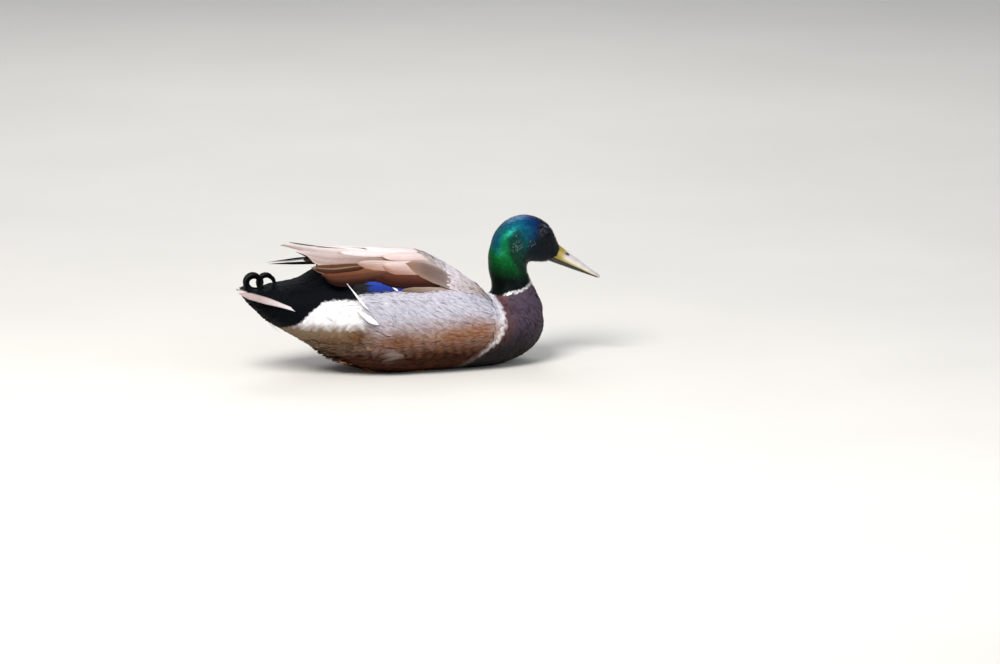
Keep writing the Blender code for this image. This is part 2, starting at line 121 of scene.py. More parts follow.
class Form:
    """A closed body form: where its surface is nearest to a place, and how it faces there."""

    def __init__(self, mesh):
        self.points = np.empty(len(mesh.vertices) * 3)
        mesh.vertices.foreach_get("co", self.points)
        self.points = self.points.reshape(-1, 3)
        self.normals = np.empty(len(mesh.vertices) * 3)
        mesh.vertex_normals.foreach_get("vector", self.normals)
        self.normals = self.normals.reshape(-1, 3)
        self.faces = np.array([(list(f.vertices) + [f.vertices[-1]])[:4] for f in mesh.polygons])
        self.tree = BVHTree.FromPolygons(self.points.tolist(), self.faces.tolist())

    def facing(self, spots, face_numbers):
        """The surface's evened normals at spots on the given faces."""
        corners = self.faces[face_numbers]
        gaps = np.linalg.norm(self.points[corners] - spots[:, None], axis=2) + 1e-5
        return unit((self.normals[corners] / gaps[..., None] ** 2).sum(axis=1))

    def snap(self, spots):
        """The surface's nearest places to the spots, and its normals there."""
        shape = spots.shape
        hits = [self.tree.find_nearest(spot) for spot in spots.reshape(-1, 3).tolist()]
        found = np.array([hit[0] for hit in hits])
        normals = self.facing(found, np.array([hit[2] for hit in hits]))
        return found.reshape(shape), normals.reshape(shape)


def above_collar(spots):
    """How far spots lie above the neck ring, which dips at the sides of the neck, mm."""
    x, z = spots[..., 0], spots[..., 2]
    ring = 75.2 + 7.5 * ((x - 105) / 30).clip(0, 1.4) ** 2 + 1.6 * (96 - x).clip(0, None)
    return z - ring + 0.16 * (112 - x).clip(0, 12)


def waver(spots, size):
    """A slow, smooth unevenness between -1 and 1, whose swells are about size mm across."""
    x, y, z = (spots[..., i] * 2 * math.pi / size for i in range(3))
    first = np.sin(x + 1.3 * np.sin(0.7 * z + y))
    second = np.sin(1.3 * z - 0.8 * x + 2.0 * np.sin(0.5 * y + x))
    return (first + second) / 2


def ring_turn(spots):
    """How far round the head from upright a spot lies, degrees back, and how far out, mm."""
    dx, dz = spots[..., 0] - THROAT[0], spots[..., 2] - THROAT[1]
    return np.degrees(np.arctan2(-dx, dz)), np.hypot(dx, dz)


def in_head(spots):
    """Spots as lengths forward of the head's middle, across and above, square to the head."""
    x, y, z = np.moveaxis(spots - HEAD_AT, -1, 0)
    c, s = math.cos(HEAD_PITCH), math.sin(HEAD_PITCH)
    return np.stack([x * c - z * s, y, x * s + z * c], axis=-1)


def mix(a, b, share):
    """Two colours or sizes mixed, by the second's share at each place."""
    return a + (b - a) * np.asarray(share)[..., None]


HEAD_SHEEN = [  # degrees back round the throat from upright, and the iridescent sheen painted there
    (-20, dye(8, 10, 26)),
    (0, dye(16, 24, 60)),
    (11, dye(10, 56, 112)),
    (18, dye(0, 78, 122)),
    (26, dye(0, 98, 112)),
    (36, dye(0, 104, 88)),
    (48, dye(0, 98, 54)),
    (62, dye(0, 84, 32)),
    (74, dye(0, 52, 18)),
    (86, dye(0, 8, 5)),
]
RIM_SHEEN_BLUE, FACE_SHADE, SHEEN_TEAL = dye(0, 54, 128), dye(18, 26, 32), dye(4, 62, 74)
SOCKET_SHADE, BROW_HIGHLIGHT = dye(9, 13, 18), dye(150, 156, 168)
HEAD_RIM = ((-20, 60), (0, 66), (15, 69), (40, 68), (60, 52), (80, 44), (95, 44))  # its outline
RIM_SHEEN_SHARE = ((22, 0.3), (32, 0.8), (48, 0.6), (62, 0))  # how strongly the painted blue sheen shows at the head's border
FACE_SHADE_DEPTH = ((0, 16), (12, 20), (30, 28), (50, 34), (75, 38))  # over which the painted shade on the face deepens
CHEEK_SHADE_LINE = ((28, 3.5), (39, 6.5), (47, 8), (56, 11.5), (62, 17))  # the painted cheek shade's border inside the rim
CHEEK_SHADE_SHARE = ((20, 0), (30, 0.7), (60, 0.8), (80, 0.2))


def head_colour(spots):
    """Painted sheen: blue on the crown, then teal, green and near black down the nape; painted
    shade on the face.
    """
    turn, out = ring_turn(spots)
    # The iridescent sheen is painted by place round the throat, not left to the light.
    stops = [stop for stop, _ in HEAD_SHEEN]
    sheen = np.stack(
        [np.interp(turn, stops, [c[i] for _, c in HEAD_SHEEN]) for i in range(3)], axis=-1
    )
    rim = ramp(turn, *HEAD_RIM)
    # A painted blue sheen along the head's outline, where the feathers turn away.
    sheen = mix(sheen, RIM_SHEEN_BLUE, edge(out - rim - 2.5, 7) * ramp(turn, *RIM_SHEEN_SHARE))
    # Painted shade: the face and cheeks darken inward from the head's outline.
    face = ((rim - out - 4) / ramp(turn, *FACE_SHADE_DEPTH)).clip(0, 1) ** 1.4 * 0.96
    cheek_shade = edge(rim - out - ramp(turn, *CHEEK_SHADE_LINE), 5) * ramp(turn, *CHEEK_SHADE_SHARE)
    colour = mix(sheen, FACE_SHADE, np.maximum(face, cheek_shade))
    gleam = patch_at(spots[..., 0], spots[..., 2], 132, 140, 7, 5)  # a painted sheen behind the eye
    colour = mix(colour, SHEEN_TEAL, gleam * 0.6)
    ahead, _, above = np.moveaxis(in_head(spots) * (1, 0, 1) - EYE_AT * (1, 0, 1), -1, 0)
    # Painted shade darkens the feathers round the eye.
    colour = mix(colour, SOCKET_SHADE, patch_at(ahead, above, 0, 0, 9, 6.5) * 0.75)
    # A painted highlight: a pale grey brow above the eye.
    return mix(colour, BROW_HIGHLIGHT, patch_at(ahead, above, -1.0, 6.8, 3.4, 1.1) * 0.85)


# The markings' borders. Each: length along the duck, and the border's height there, mm.
FLANK_TOP = (
    (-95, 86), (-82, 86), (-70, 88.5), (-58, 90.5), (-22, 91.5), (0, 89.8),
    (35, 87.5), (52, 85), (64, 81.5), (78, 76), (88, 76), (97, 78),
)
WHITE_TOP = ((-141, 50), (-126, 57), (-114, 70.5), (-102, 80.5), (-95, 83), (-82, 84.5), (-62, 84))
STAIN_TOP = ((-121, 58), (-60, 52), (-24, 55), (20, 57), (50, 59), (80, 52), (100, 44))
# These two the other way about: height, and the border's length along the duck there.
CHEST_EDGE = ((0, 45), (10, 60), (24, 77), (33, 88), (48, 96), (77, 97), (90, 92), (105, 88))
VENT_EDGE = ((0, -160), (40, -152), (51, -142), (58, -128))
# By height, how strong the pale line behind the breast is, and the chestnut one before it.
CREAM_SHARE = ((14, 0.1), (28, 0.8), (45, 0.8), (60, 0.4), (90, 0.1))
CHESTNUT_SHARE = ((18, 0), (38, 0.5), (60, 0.35), (76, 0.7), (90, 0.2))
# Stained places. Each: length along and height of its middle, half length, half height, mm.
RUST_SPOTS = ((66, 47, 17, 10), (38, 41, 24, 8), (-22, 37, 30, 7), (24, 24, 60, 9))
EARTH_SPOTS = (((-66, 45, 14, 10), 0.8), ((-92, 40, 14, 5), 0.5), ((-24, 43, 18, 7), 0.55))
LOOSE_DOWN = (-31, 24, 8, 6)
FLANK_GREY, CREAM, CHEST_BROWN = dye(197, 194, 207), dye(224, 216, 216), dye(70, 56, 70)
CHESTNUT, STAIN, RUST, BELLY_STAIN_AND_SHADE = dye(104, 60, 42), dye(142, 104, 76), dye(142, 86, 48), dye(58, 24, 4)
TAN, WHITE, BLACK = dye(124, 104, 84), dye(228, 226, 228), dye(2, 4, 9)
MANTLE_GREY, SHOULDER_BROWN, NECK_BASE = dye(226, 216, 224), dye(150, 126, 110), dye(60, 46, 52)
CHEST_SHADE, EARTH, DOWN = dye(16, 6, 9), dye(92, 52, 18), dye(118, 110, 106)
UNDER_PLUMES, MANTLE_TOP_LIGHT = dye(34, 26, 24), dye(236, 228, 232)


def top_gap(spots):
    """How far spots lie above the flank's upper border, mm."""
    return spots[..., 2] - ramp(spots[..., 0], *FLANK_TOP)


def body_colour(spots):
    """The drake's body: grey flanks, stained belly, dark chest, white and black rear; painted shade
    low on the belly and breast, and painted light on the back's ridge.
    """
    x, y, z = spots[..., 0], np.abs(spots[..., 1]), spots[..., 2]
    rough = waver(spots, 11) * 2.2
    colour = FLANK_GREY * (1 - 0.12 * edge(10 - x, 50) * edge(z - 50, 20))[..., None]
    stained = edge(ramp(x, *STAIN_TOP) - z + rough * 2, 22)
    patchy = 0.84 + 0.1 * waver(spots, 14) + 0.1 * waver(spots[..., ::-1], 8)
    colour = mix(colour, STAIN, stained * patchy * ramp(x, (-70, 0.9), (0, 0.9), (30, 1)))
    for spot in RUST_SPOTS:
        near = patch_at(x, z, *spot)
        colour = mix(colour, RUST, near * (0.72 + 0.28 * waver(spots, 7)))
    colour = mix(colour, TAN, edge(-58 - x + rough, 24) * edge(59 - z + rough, 12))
    for spot, share in EARTH_SPOTS:
        near = patch_at(x, z, *spot)
        colour = mix(colour, EARTH, near * (share + 0.25 * waver(spots, 6)))
    down = patch_at(x, z, *LOOSE_DOWN)
    colour = mix(colour, DOWN, down * 0.9)
    # The belly darkens to deep brown towards the bottom: partly real stain, partly painted shade
    # under the body.
    under = edge(31 - z + rough * 2, 22) * (1 - down)
    colour = mix(colour, BELLY_STAIN_AND_SHADE, under * ramp(x, (-120, 0.5), (-70, 1)))
    chest = ramp(z, *CHEST_EDGE)
    colour = mix(colour, CREAM, edge(x - chest + 5 + rough, 7) * ramp(z, *CREAM_SHARE))
    top = top_gap(spots)
    upper = mix(SHOULDER_BROWN, MANTLE_GREY, edge(x - 22 + rough * 2, 24))
    upper = mix(upper, SHOULDER_BROWN, edge(waver(spots, 5) * 6 + rough - 4, 8) * 0.25)
    low_mantle = edge(12 - top, 12) * edge(x - 40, 20)
    upper = mix(upper, SHOULDER_BROWN, low_mantle * 0.5)
    upper = mix(upper, UNDER_PLUMES, edge(-36 - x, 20))
    # Painted light: the back's ridge is painted paler where light falls on its top.
    upper = mix(upper, MANTLE_TOP_LIGHT, edge(24 - y, 12) * edge(x - 2, 8) * 0.35)
    colour = mix(colour, upper, edge(top, 3))
    base = edge(x - 80 - (92 - z) * 0.25, 14) * edge(z - 78, 10)
    colour = mix(colour, NECK_BASE, base)
    # The breast is painted darker low down as painted shade.
    breast = mix(CHEST_BROWN, CHEST_SHADE, edge(38 - z + rough, 34))
    border = edge(9 - (x - chest) + rough, 16)
    breast = mix(breast, CHESTNUT, border * ramp(z, *CHESTNUT_SHARE))
    colour = mix(colour, breast, edge(x - chest + rough * 0.7, 4))
    trailing = -76 + (103 - z) * 0.75  # the hind edge of the folded secondaries
    rear = edge(trailing.clip(-76, -60) - x, 3) * edge(z - ramp(x, *WHITE_TOP) + rough * 0.4, 2.5)
    vent = edge(ramp(z, *VENT_EDGE) - x, 4)
    white = edge(-61 - x + rough, 6) * edge(z - 57 + rough * 1.5, 10) * (1 - edge(top, 3))
    colour = mix(colour, WHITE, white)
    return mix(colour, BLACK, np.maximum(rear, vent))


def markings(spots):
    """The plumage's colour at any place on the skin or in the coat, given in mm."""
    collar = above_collar(spots)
    collar = collar + waver(spots, 9) * 0.5
    nape = edge(106 - spots[..., 0], 8)  # the white ring is open at the back
    colour = mix(body_colour(spots), WHITE * 0.8, edge(collar + 1.9, 0.8) * (1 - nape))
    return mix(colour, head_colour(spots), edge(collar - 1.4 + 3 * nape, 0.8))


def new_piece(name, mesh):
    """A mesh put into the scene as a piece."""
    obj = bpy.data.objects.new(name, mesh)
    bpy.context.scene.collection.objects.link(obj)
    return obj


def set_colour(mesh, colours):
    """Stores a colour for each vertex, from which the material starts."""
    store = mesh.color_attributes.new("plumage", "FLOAT_COLOR", "POINT")
    full = np.ones((len(colours), 4), dtype=np.float32)
    full[:, :3] = np.clip(colours, 0, 1)
    store.data.foreach_set("color", full.ravel())


class Nodes:
    """Adds nodes to a material or a group, and joins their sockets."""

    def __init__(self, tree):
        self.tree = tree

    def add(self, kind, inputs=None, **settings):
        """A new node with its settings made and its inputs set or joined."""
        node = self.tree.nodes.new(kind)
        for key, value in settings.items():
            setattr(node, key, value)
        for key, value in (inputs or {}).items():
            if isinstance(value, bpy.types.NodeSocket):
                self.tree.links.new(value, node.inputs[key])
            else:
                node.inputs[key].default_value = value
        return node

    def math(self, operation, *values):
        """A sum worked out from values or sockets."""
        return self.add("ShaderNodeMath", dict(enumerate(values)), operation=operation).outputs[0]

    def ranged(self, value, low, high, start=0.0, end=1.0):
        """A value that lies between start and end, brought between low and high."""
        span = {"Value": value, "From Min": start, "From Max": end, "To Min": low, "To Max": high}
        return self.add("ShaderNodeMapRange", span).outputs[0]

    def stored(self):
        """The colour stored at each vertex."""
        return self.add("ShaderNodeAttribute", attribute_name="plumage").outputs["Color"]

    def tinted(self, colour, level):
        """A colour brightened or dimmed by a level."""
        inputs = {0: colour, "Scale": level}
        return self.add("ShaderNodeVectorMath", inputs, operation="SCALE").outputs[0]

    def group(self, tree, **inputs):
        """A shader group set in place with its own values: its outputs."""
        return self.add("ShaderNodeGroup", inputs, node_tree=tree).outputs


def new_material(name):
    """An empty material, and what adds its nodes."""
    material = bpy.data.materials.new(name)
    material.use_nodes = True
    material.node_tree.nodes.clear()
    return material, Nodes(material.node_tree)


def new_group(name, inputs, outputs):
    """An empty shader group with named sockets; inputs maps a name to its kind and value."""
    group = bpy.data.node_groups.new(name, "ShaderNodeTree")
    for label, (kind, value) in inputs.items():
        socket = group.interface.new_socket(label, in_out="INPUT", socket_type=kind)
        if value is not None:
            socket.default_value = value
    for label, kind in outputs.items():
        group.interface.new_socket(label, in_out="OUTPUT", socket_type=kind)
    nodes = Nodes(group)
    return group, nodes, nodes.add("NodeGroupInput").outputs, nodes.add("NodeGroupOutput").inputs


def finish_surface(nodes, colour, roughness, height, bump=0.3, **sockets):
    """The shader itself, its colour, roughness and relief joined, its constants set on it."""
    relief = nodes.add("ShaderNodeBump", {"Height": height, "Strength": bump, "Distance": 0.0004})
    inputs = {"Base Color": colour, "Roughness": roughness, "Normal": relief.outputs[0]}
    inputs.update({key.replace("_", " "): value for key, value in sockets.items()})
    shader = nodes.add("ShaderNodeBsdfPrincipled", inputs)
    out = nodes.add("ShaderNodeOutputMaterial")
    nodes.tree.links.new(shader.outputs[0], out.inputs[0])


# Every surface is mottled: slow lighter and darker patches, with a fine grain over them.
mottle, nodes, given, taken = new_group(
    "mottle",
    {
        "Size": ("NodeSocketFloat", 4.0),
        "Low": ("NodeSocketFloat", 0.85),
        "High": ("NodeSocketFloat", 1.1),
    },
    {"Level": "NodeSocketFloat", "Grain": "NodeSocketFloat"},
)
where = nodes.add("ShaderNodeTexCoord").outputs["Object"]
broad = nodes.add(
    "ShaderNodeTexNoise",
    {"Vector": where, "Scale": nodes.math("DIVIDE", 1 / MM, given["Size"]), "Detail": 3.0},
).outputs[0]
fine = nodes.add("ShaderNodeTexNoise", {"Vector": where, "Scale": 1400.0, "Detail": 2.0}).outputs[0]
level = nodes.ranged(broad, given["Low"], given["High"], 0.3, 0.7)
nodes.tree.links.new(level, taken["Level"])
nodes.tree.links.new(fine, taken["Grain"])


flesh = ["trunk", "neck", "head", "wing_right", "wing_left"]
form_mesh = cast("body_form", flesh + ["secondaries_right", "secondaries_left"], 1.8, 8)
form = Form(form_mesh)
ahead = edge(in_head(measures(form.points))[:, 0] - 6, 18)
ahead = ahead**2 * (3 - 2 * ahead)  # the face's plumage runs out over the root of the bill
forward = np.array((math.cos(HEAD_PITCH), 0, -math.sin(HEAD_PITCH)))
reached = form.points + forward * ahead[:, None] * FACE_REACH * MM
form_mesh.vertices.foreach_set("co", reached.ravel())
form_mesh.update()
form = Form(form_mesh)
form_spots = measures(form.points)
skin_depth = mix(
    np.array([BODY_DEPTH]), np.array([HEAD_DEPTH]), edge(above_collar(form_spots), 12)
)
skin_mesh = form_mesh.copy()
skin_mesh.name = "skin"
skin_mesh.vertices.foreach_set("co", (form.points - form.normals * skin_depth * MM).ravel())
skin_mesh.polygons.foreach_set("use_smooth", [True] * len(skin_mesh.polygons))
set_colour(skin_mesh, markings(form_spots) * 0.8)
skin = new_piece("skin", skin_mesh)
hide, nodes = new_material("hide")
patches = nodes.group(mottle, Size=6.0)
finish_surface(
    nodes,
    nodes.tinted(nodes.stored(), patches["Level"]),
    nodes.ranged(patches["Grain"], 0.75, 0.95),
    patches["Grain"],
)
skin_mesh.materials.clear()
skin_mesh.materials.append(hide)
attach(skin, "root")
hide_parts(*flesh)

# ==== The coat of the trunk ====
# The feathers of the belly, flanks, breast, rear and mantle: horn vanes, soft and loose on the
# flanks and belly, close and firm on the breast. They stand in the skin by their roots and lie
# back over each other like tiles.
LIE_RISE = ((18, 0), (42, 0.3), (62, 0.7), (85, 0.75))  # by height, how steeply the flank's rise


def roots_over(spacing, wanted, seed):
    """Spots on the form, none nearer to another than the spacing, where feathers stand."""
    random = np.random.default_rng(seed)
    quads = form.points[form.faces]
    halves = np.concatenate([quads[:, [0, 1, 2]], quads[:, [0, 2, 3]]])
    halves = halves[wanted(measures(halves.mean(axis=1)))]
    sides = halves[:, 1:] - halves[:, :1]
    area = np.linalg.norm(np.cross(sides[:, 0], sides[:, 1]), axis=1) / 2
    count = int(7 * area.sum() / (spacing * MM) ** 2)
    pick = random.choice(len(halves), size=count, p=area / area.sum())
    a, b = random.random((2, count))
    a, b = np.where(a + b > 1, 1 - a, a), np.where(a + b > 1, 1 - b, b)
    thrown = halves[pick, 0] + sides[pick, 0] * a[:, None] + sides[pick, 1] * b[:, None]
    held, kept = {}, []
    cells = np.floor(thrown / (spacing * MM)).astype(int).tolist()
    least = (spacing * MM) ** 2
    steps = [(i, j, k) for i in (-1, 0, 1) for j in (-1, 0, 1) for k in (-1, 0, 1)]
    for spot, (i, j, k) in zip(thrown.tolist(), cells):
        near = (q for di, dj, dk in steps for q in held.get((i + di, j + dj, k + dk), ()))
        if all(sum((s - t) ** 2 for s, t in zip(spot, q)) >= least for q in near):
            held.setdefault((i, j, k), []).append(spot)
            kept.append(spot)
    return form.snap(np.array(kept))


def body_lie(spots):
    """Which way the trunk's feathers point: back, rising over the wings, falling on the breast."""
    x, z = spots[..., 0], spots[..., 2]
    rise = ramp(z, *LIE_RISE) * ramp(x, (-110, 0), (-75, 1), (58, 1), (85, 0))
    rise = rise * ramp(-top_gap(spots), (0, 0.05), (16, 1))
    fall = ramp(x, (70, 0.12), (110, 0.35), (150, 1.3))
    return np.stack([-np.ones_like(x), np.zeros_like(x), rise - fall], axis=-1)


def lay(roots, normals, lie, length, stops, stray, random):
    """Carries each feather's middle line from its root along the lie of the coat."""
    line, up = [roots], [normals]
    turn = random.normal(0, stray, len(roots))[:, None]
    for share in np.diff(stops):
        spot, normal = line[-1], up[-1]
        along = lie(measures(spot))
        along = unit(along - normal * (along * normal).sum(axis=-1, keepdims=True))
        along = along * np.cos(turn) + np.cross(normal, along) * np.sin(turn)
        spot, normal = form.snap(spot + along * (length * share * MM)[:, None])
        line.append(spot)
        up.append(normal)
    return np.stack(line, axis=1), np.stack(up, axis=1)


def vane_grid(line, up, half, columns, crown):
    """A vane's upper face over its middle line: feather, stop along it, column across it."""
    along = unit(np.gradient(line, axis=1))
    across = unit(np.cross(up, along))
    v = np.linspace(-1, 1, columns + 1)[None, None, :, None]
    wide = (half * MM)[:, :, None, None]
    half = half[:, :, None, None]
    bow = crown * (1 - v**2) - 0.012 * (half * v) ** 2 / np.maximum(half, 0.1)
    return line[:, :, None] + across[:, :, None] * wide * v + up[:, :, None] * wide * bow


def vane_faces(stops, columns):
    """One closed vane's faces: its upper side in columns, its lower side in plain strips."""
    def at(row, column):
        """The number of the vertex at a row and a column; each end is one vertex."""
        return 0 if row == 0 else 1 + (row - 1) * (columns + 1) + column

    last = stops - 2
    tip = 1 + last * (columns + 1)
    faces = []
    for c in range(columns):
        faces.append((0, at(1, c), at(1, c + 1)))
        faces += [(at(r, c), at(r + 1, c), at(r + 1, c + 1), at(r, c + 1)) for r in range(1, last)]
        faces.append((at(last, c), tip, at(last, c + 1)))
    faces.append((0, at(1, columns), at(1, 0)))
    faces += [(at(r, 0), at(r, columns), at(r + 1, columns), at(r + 1, 0)) for r in range(1, last)]
    faces.append((at(last, 0), at(last, columns), tip))
    return faces, tip + 1


def unwrap(spots):
    """A place on the flattened skin for each root: along the body, and round it."""
    around = np.arctan2(spots[:, 2] - 62, spots[:, 1]) / (2 * math.pi) + 0.5
    flat = np.stack([spots[:, 0], around], axis=1)
    low, high = flat.min(axis=0), flat.max(axis=0)
    return 0.002 + 0.992 * (flat - low) / np.maximum(high - low, 1e-6)


PATCH = 0.003  # the share of the unwrap that one small feather takes


def feather_piece(name, grid, colours, material, flat=None, patch=PATCH):
    """Joins closed vanes into one piece, with their colour, barb measures and unwrap."""
    count, stops, across, _ = grid.shape
    columns, middle = across - 1, across // 2

    def pack(values):
        """Values over the grid as one row for each vertex, its ends drawn to a point."""
        inner = values[:, 1:-1].reshape(count, -1, values.shape[-1])
        ends = values[:, :1, middle], values[:, -1:, middle]
        return np.concatenate([ends[0], inner, ends[1]], axis=1).reshape(-1, values.shape[-1])

    template, size = vane_faces(stops, columns)
    loops = np.array([i for face in template for i in face])
    lengths = np.array([len(face) for face in template])
    shifts = np.arange(count) * size
    corner = (loops[None] + shifts[:, None]).ravel()
    totals = np.tile(lengths, count)
    mesh = bpy.data.meshes.new(name)
    points = pack(grid)
    mesh.vertices.add(len(points))
    mesh.vertices.foreach_set("co", points.ravel())
    mesh.loops.add(len(corner))
    mesh.loops.foreach_set("vertex_index", corner)
    mesh.polygons.add(len(totals))
    mesh.polygons.foreach_set("loop_start", np.concatenate([[0], np.cumsum(totals)[:-1]]))
    mesh.polygons.foreach_set("use_smooth", np.ones(len(totals), dtype=bool))
    mesh.update(calc_edges=True)
    mesh.validate()
    set_colour(mesh, pack(colours))
    barb = barb_measures(grid, np.random.default_rng(len(points)))
    store = mesh.attributes.new("barb", "FLOAT_VECTOR", "POINT")
    store.data.foreach_set("vector", pack(barb).astype(np.float32).ravel())
    if flat is None:
        flat = unwrap(measures(grid[:, 0, middle]))
    u, v = np.meshgrid(np.linspace(0, 1, stops), np.linspace(0, 1, across), indexing="ij")
    local = np.broadcast_to(np.stack([v, u], axis=-1), (count, stops, across, 2)) * patch
    spread = pack(flat[:, None, None] + local)
    layer = mesh.uv_layers.new(name="OFBake")
    layer.data.foreach_set("uv", spread[corner].astype(np.float32).ravel())
    mesh.set_sharp_from_angle(angle=math.radians(55))
    mesh.materials.append(material)
    piece = new_piece(name, mesh)
    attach(piece, "root")
    return piece


def barb_measures(grid, random):
    """For each point of a vane: how far along it and across it lies, mm, and its feather's lot."""
    middle = grid.shape[2] // 2
    steps = np.linalg.norm(np.diff(grid[:, :, middle], axis=1), axis=-1) / MM
    along = np.concatenate([np.zeros((len(grid), 1)), np.cumsum(steps, axis=1)], axis=1)
    across = np.linalg.norm(grid - grid[:, :, middle : middle + 1], axis=-1) / MM
    across[:, :, :middle] *= -1
    lot = np.broadcast_to(random.random(len(grid))[:, None, None], across.shape)
    return np.stack([np.broadcast_to(along[:, :, None], across.shape), across, lot], axis=-1)


# Barbs run out from a feather's shaft at a slant; here and there a few part from the next.
barbs, nodes, given, taken = new_group(
    "barbs",
    {
        "Barb": ("NodeSocketVector", None),
        "Pitch": ("NodeSocketFloat", 0.6),
        "Slant": ("NodeSocketFloat", 1.2),
    },
    {"Shade": "NodeSocketFloat", "Height": "NodeSocketFloat"},
)
parts = nodes.add("ShaderNodeSeparateXYZ", {0: given["Barb"]}).outputs
out_from_shaft = nodes.math("ABSOLUTE", parts[1])
slanted = nodes.math("SUBTRACT", parts[0], nodes.math("MULTIPLY", out_from_shaft, given["Slant"]))
lot = nodes.math("MULTIPLY", parts[2], 80.0)
clump_at = nodes.add(
    "ShaderNodeCombineXYZ", {0: slanted, 1: nodes.math("MULTIPLY", parts[1], 0.15), 2: lot}
).outputs[0]
clump = nodes.add(
    "ShaderNodeTexNoise", {"Vector": clump_at, "Scale": 0.9, "Detail": 3.0, "Roughness": 0.7}
).outputs[0]
beat = nodes.math("MULTIPLY", nodes.math("DIVIDE", slanted, given["Pitch"]), 2 * math.pi)
beat = nodes.math("ADD", beat, nodes.math("MULTIPLY", clump, 9.0))
ridge = nodes.math("MULTIPLY_ADD", nodes.math("SINE", beat), 0.5, 0.5)
shade = nodes.math("ADD", nodes.math("MULTIPLY", clump, 1.3), nodes.math("MULTIPLY", ridge, 0.35))
nodes.tree.links.new(shade, taken["Shade"])
nodes.tree.links.new(nodes.math("ADD", ridge, clump), taken["Height"])

# Fine dark lines wander across the grey feathers of a drake's sides and back.
pencilling, nodes, given, taken = new_group(
    "pencilling",
    {"Barb": ("NodeSocketVector", None), "Pitch": ("NodeSocketFloat", 1.3)},
    {"Mask": "NodeSocketFloat"},
)
parts = nodes.add("ShaderNodeSeparateXYZ", {0: given["Barb"]}).outputs
stray_at = nodes.add(
    "ShaderNodeCombineXYZ", {0: parts[0], 1: parts[1], 2: nodes.math("MULTIPLY", parts[2], 60.0)}
).outputs[0]
stray_line = nodes.add(
    "ShaderNodeTexNoise", {"Vector": stray_at, "Scale": 0.55, "Detail": 2.0}
).outputs[0]
bent = nodes.math(
    "ADD", nodes.math("DIVIDE", parts[0], given["Pitch"]), nodes.math("MULTIPLY", stray_line, 3.0)
)
line_level = nodes.math("SINE", nodes.math("MULTIPLY", bent, 2 * math.pi))
nodes.tree.links.new(nodes.ranged(line_level, 0.0, 1.0, 0.1, 0.8), taken["Mask"])


def plumage(name, rough, shade=(0.72, 1.12), pencil=0.0, pitch=0.6, bump=0.25, size=7.0, **sockets):
    """A feather finish: stored colour, shaded by its barbs and a slow mottle."""
    material, nodes = new_material(name)
    barb = nodes.add("ShaderNodeAttribute", attribute_name="barb").outputs["Vector"]
    vane = nodes.group(barbs, Barb=barb, Pitch=pitch)
    patches = nodes.group(mottle, Size=size, Low=0.92, High=1.06)
    level = nodes.ranged(vane["Shade"], *shade, 0.45, 1.15)
    level = nodes.math("MULTIPLY", level, patches["Level"])
    if pencil:
        lines = nodes.math("MULTIPLY", nodes.group(pencilling, Barb=barb)["Mask"], pencil)
        level = nodes.math("MULTIPLY", level, nodes.math("SUBTRACT", 1.0, lines))
    roughness = nodes.ranged(vane["Height"], rough - 0.08, rough + 0.08, 0.0, 2.0)
    colour = nodes.tinted(nodes.stored(), level)
    finish_surface(nodes, colour, roughness, vane["Height"], bump, **sockets)
    return material


# A vane's outline: shares of its length, and of its half width there.
ROUND = ((0, 0), (0.2, 0.62), (0.45, 0.92), (0.68, 1), (0.87, 0.88), (0.96, 0.55), (1, 0))
TAPERED = ((0, 0), (0.2, 0.75), (0.42, 1), (0.62, 0.9), (0.8, 0.62), (0.93, 0.3), (1, 0))


def coat(
    name, at, normals, length, half, lie, material, seed, outline=ROUND, columns=4, stray=0.14,
    depth=BODY_DEPTH, lift=0.3, crown=0.1, vary=0.1, fringe=0.0, ruffle=0.15, dark=0.0, pale=0.0,
    tint=None,
):
    """A joined patch of the coat: vanes from their roots in the skin to their raised tips.

    Lengths in mm: length and half width of a vane, depth of its root, lift of its tip and how
    unevenly it ruffles. Shares: crown of its arch, stray from the lie, how its shade varies,
    how dark its fringe is, and how many vanes are dark or pale.
    """
    random = np.random.default_rng(seed)
    stops, outline = np.array(outline, dtype=float).T
    count = len(at)
    length = np.broadcast_to(length, count) * random.normal(1, 0.1, count).clip(0.75, 1.3)
    half = np.broadcast_to(half, count) * random.normal(1, 0.1, count).clip(0.75, 1.3)
    line, up = lay(at, normals, lie, length, stops, stray, random)
    rise = np.broadcast_to(lift(measures(at)) if callable(lift) else lift, count)[:, None]
    height = -(depth + 0.2) * (1 - stops[None]) ** 2.2 + rise * stops[None] ** 2
    height = height + random.normal(0, ruffle, (count, 1)) * stops[None] ** 2
    line = line + up * height[..., None] * MM
    widths = half[:, None] * outline[None]
    widths = widths * random.normal(1, 0.05, widths.shape)
    grid = vane_grid(line, up, widths, columns, crown)
    grid[..., 2] = np.maximum(grid[..., 2], 0.05 * MM)  # pressed flat where the bird sits
    middle = measures(line[:, len(stops) // 2 + 1])[:, None, None]
    colours = markings(middle + (measures(grid) - middle) * 0.6)
    lot = random.random(count)
    level = random.normal(1, vary, count).clip(0.6, 1.4)
    level = level * np.where(lot < dark, 0.62, np.where(lot > 1 - pale, 1.45, 1.0))
    if tint is not None:
        colours[:] = tint
    colours = colours * level[:, None, None, None]
    v = np.abs(np.linspace(-1, 1, columns + 1))[None, None, :, None]
    u = stops[None, :, None, None]
    colours = colours * (1 - fringe * np.maximum(v**2, u**4))
    return feather_piece(name, grid, colours, material)


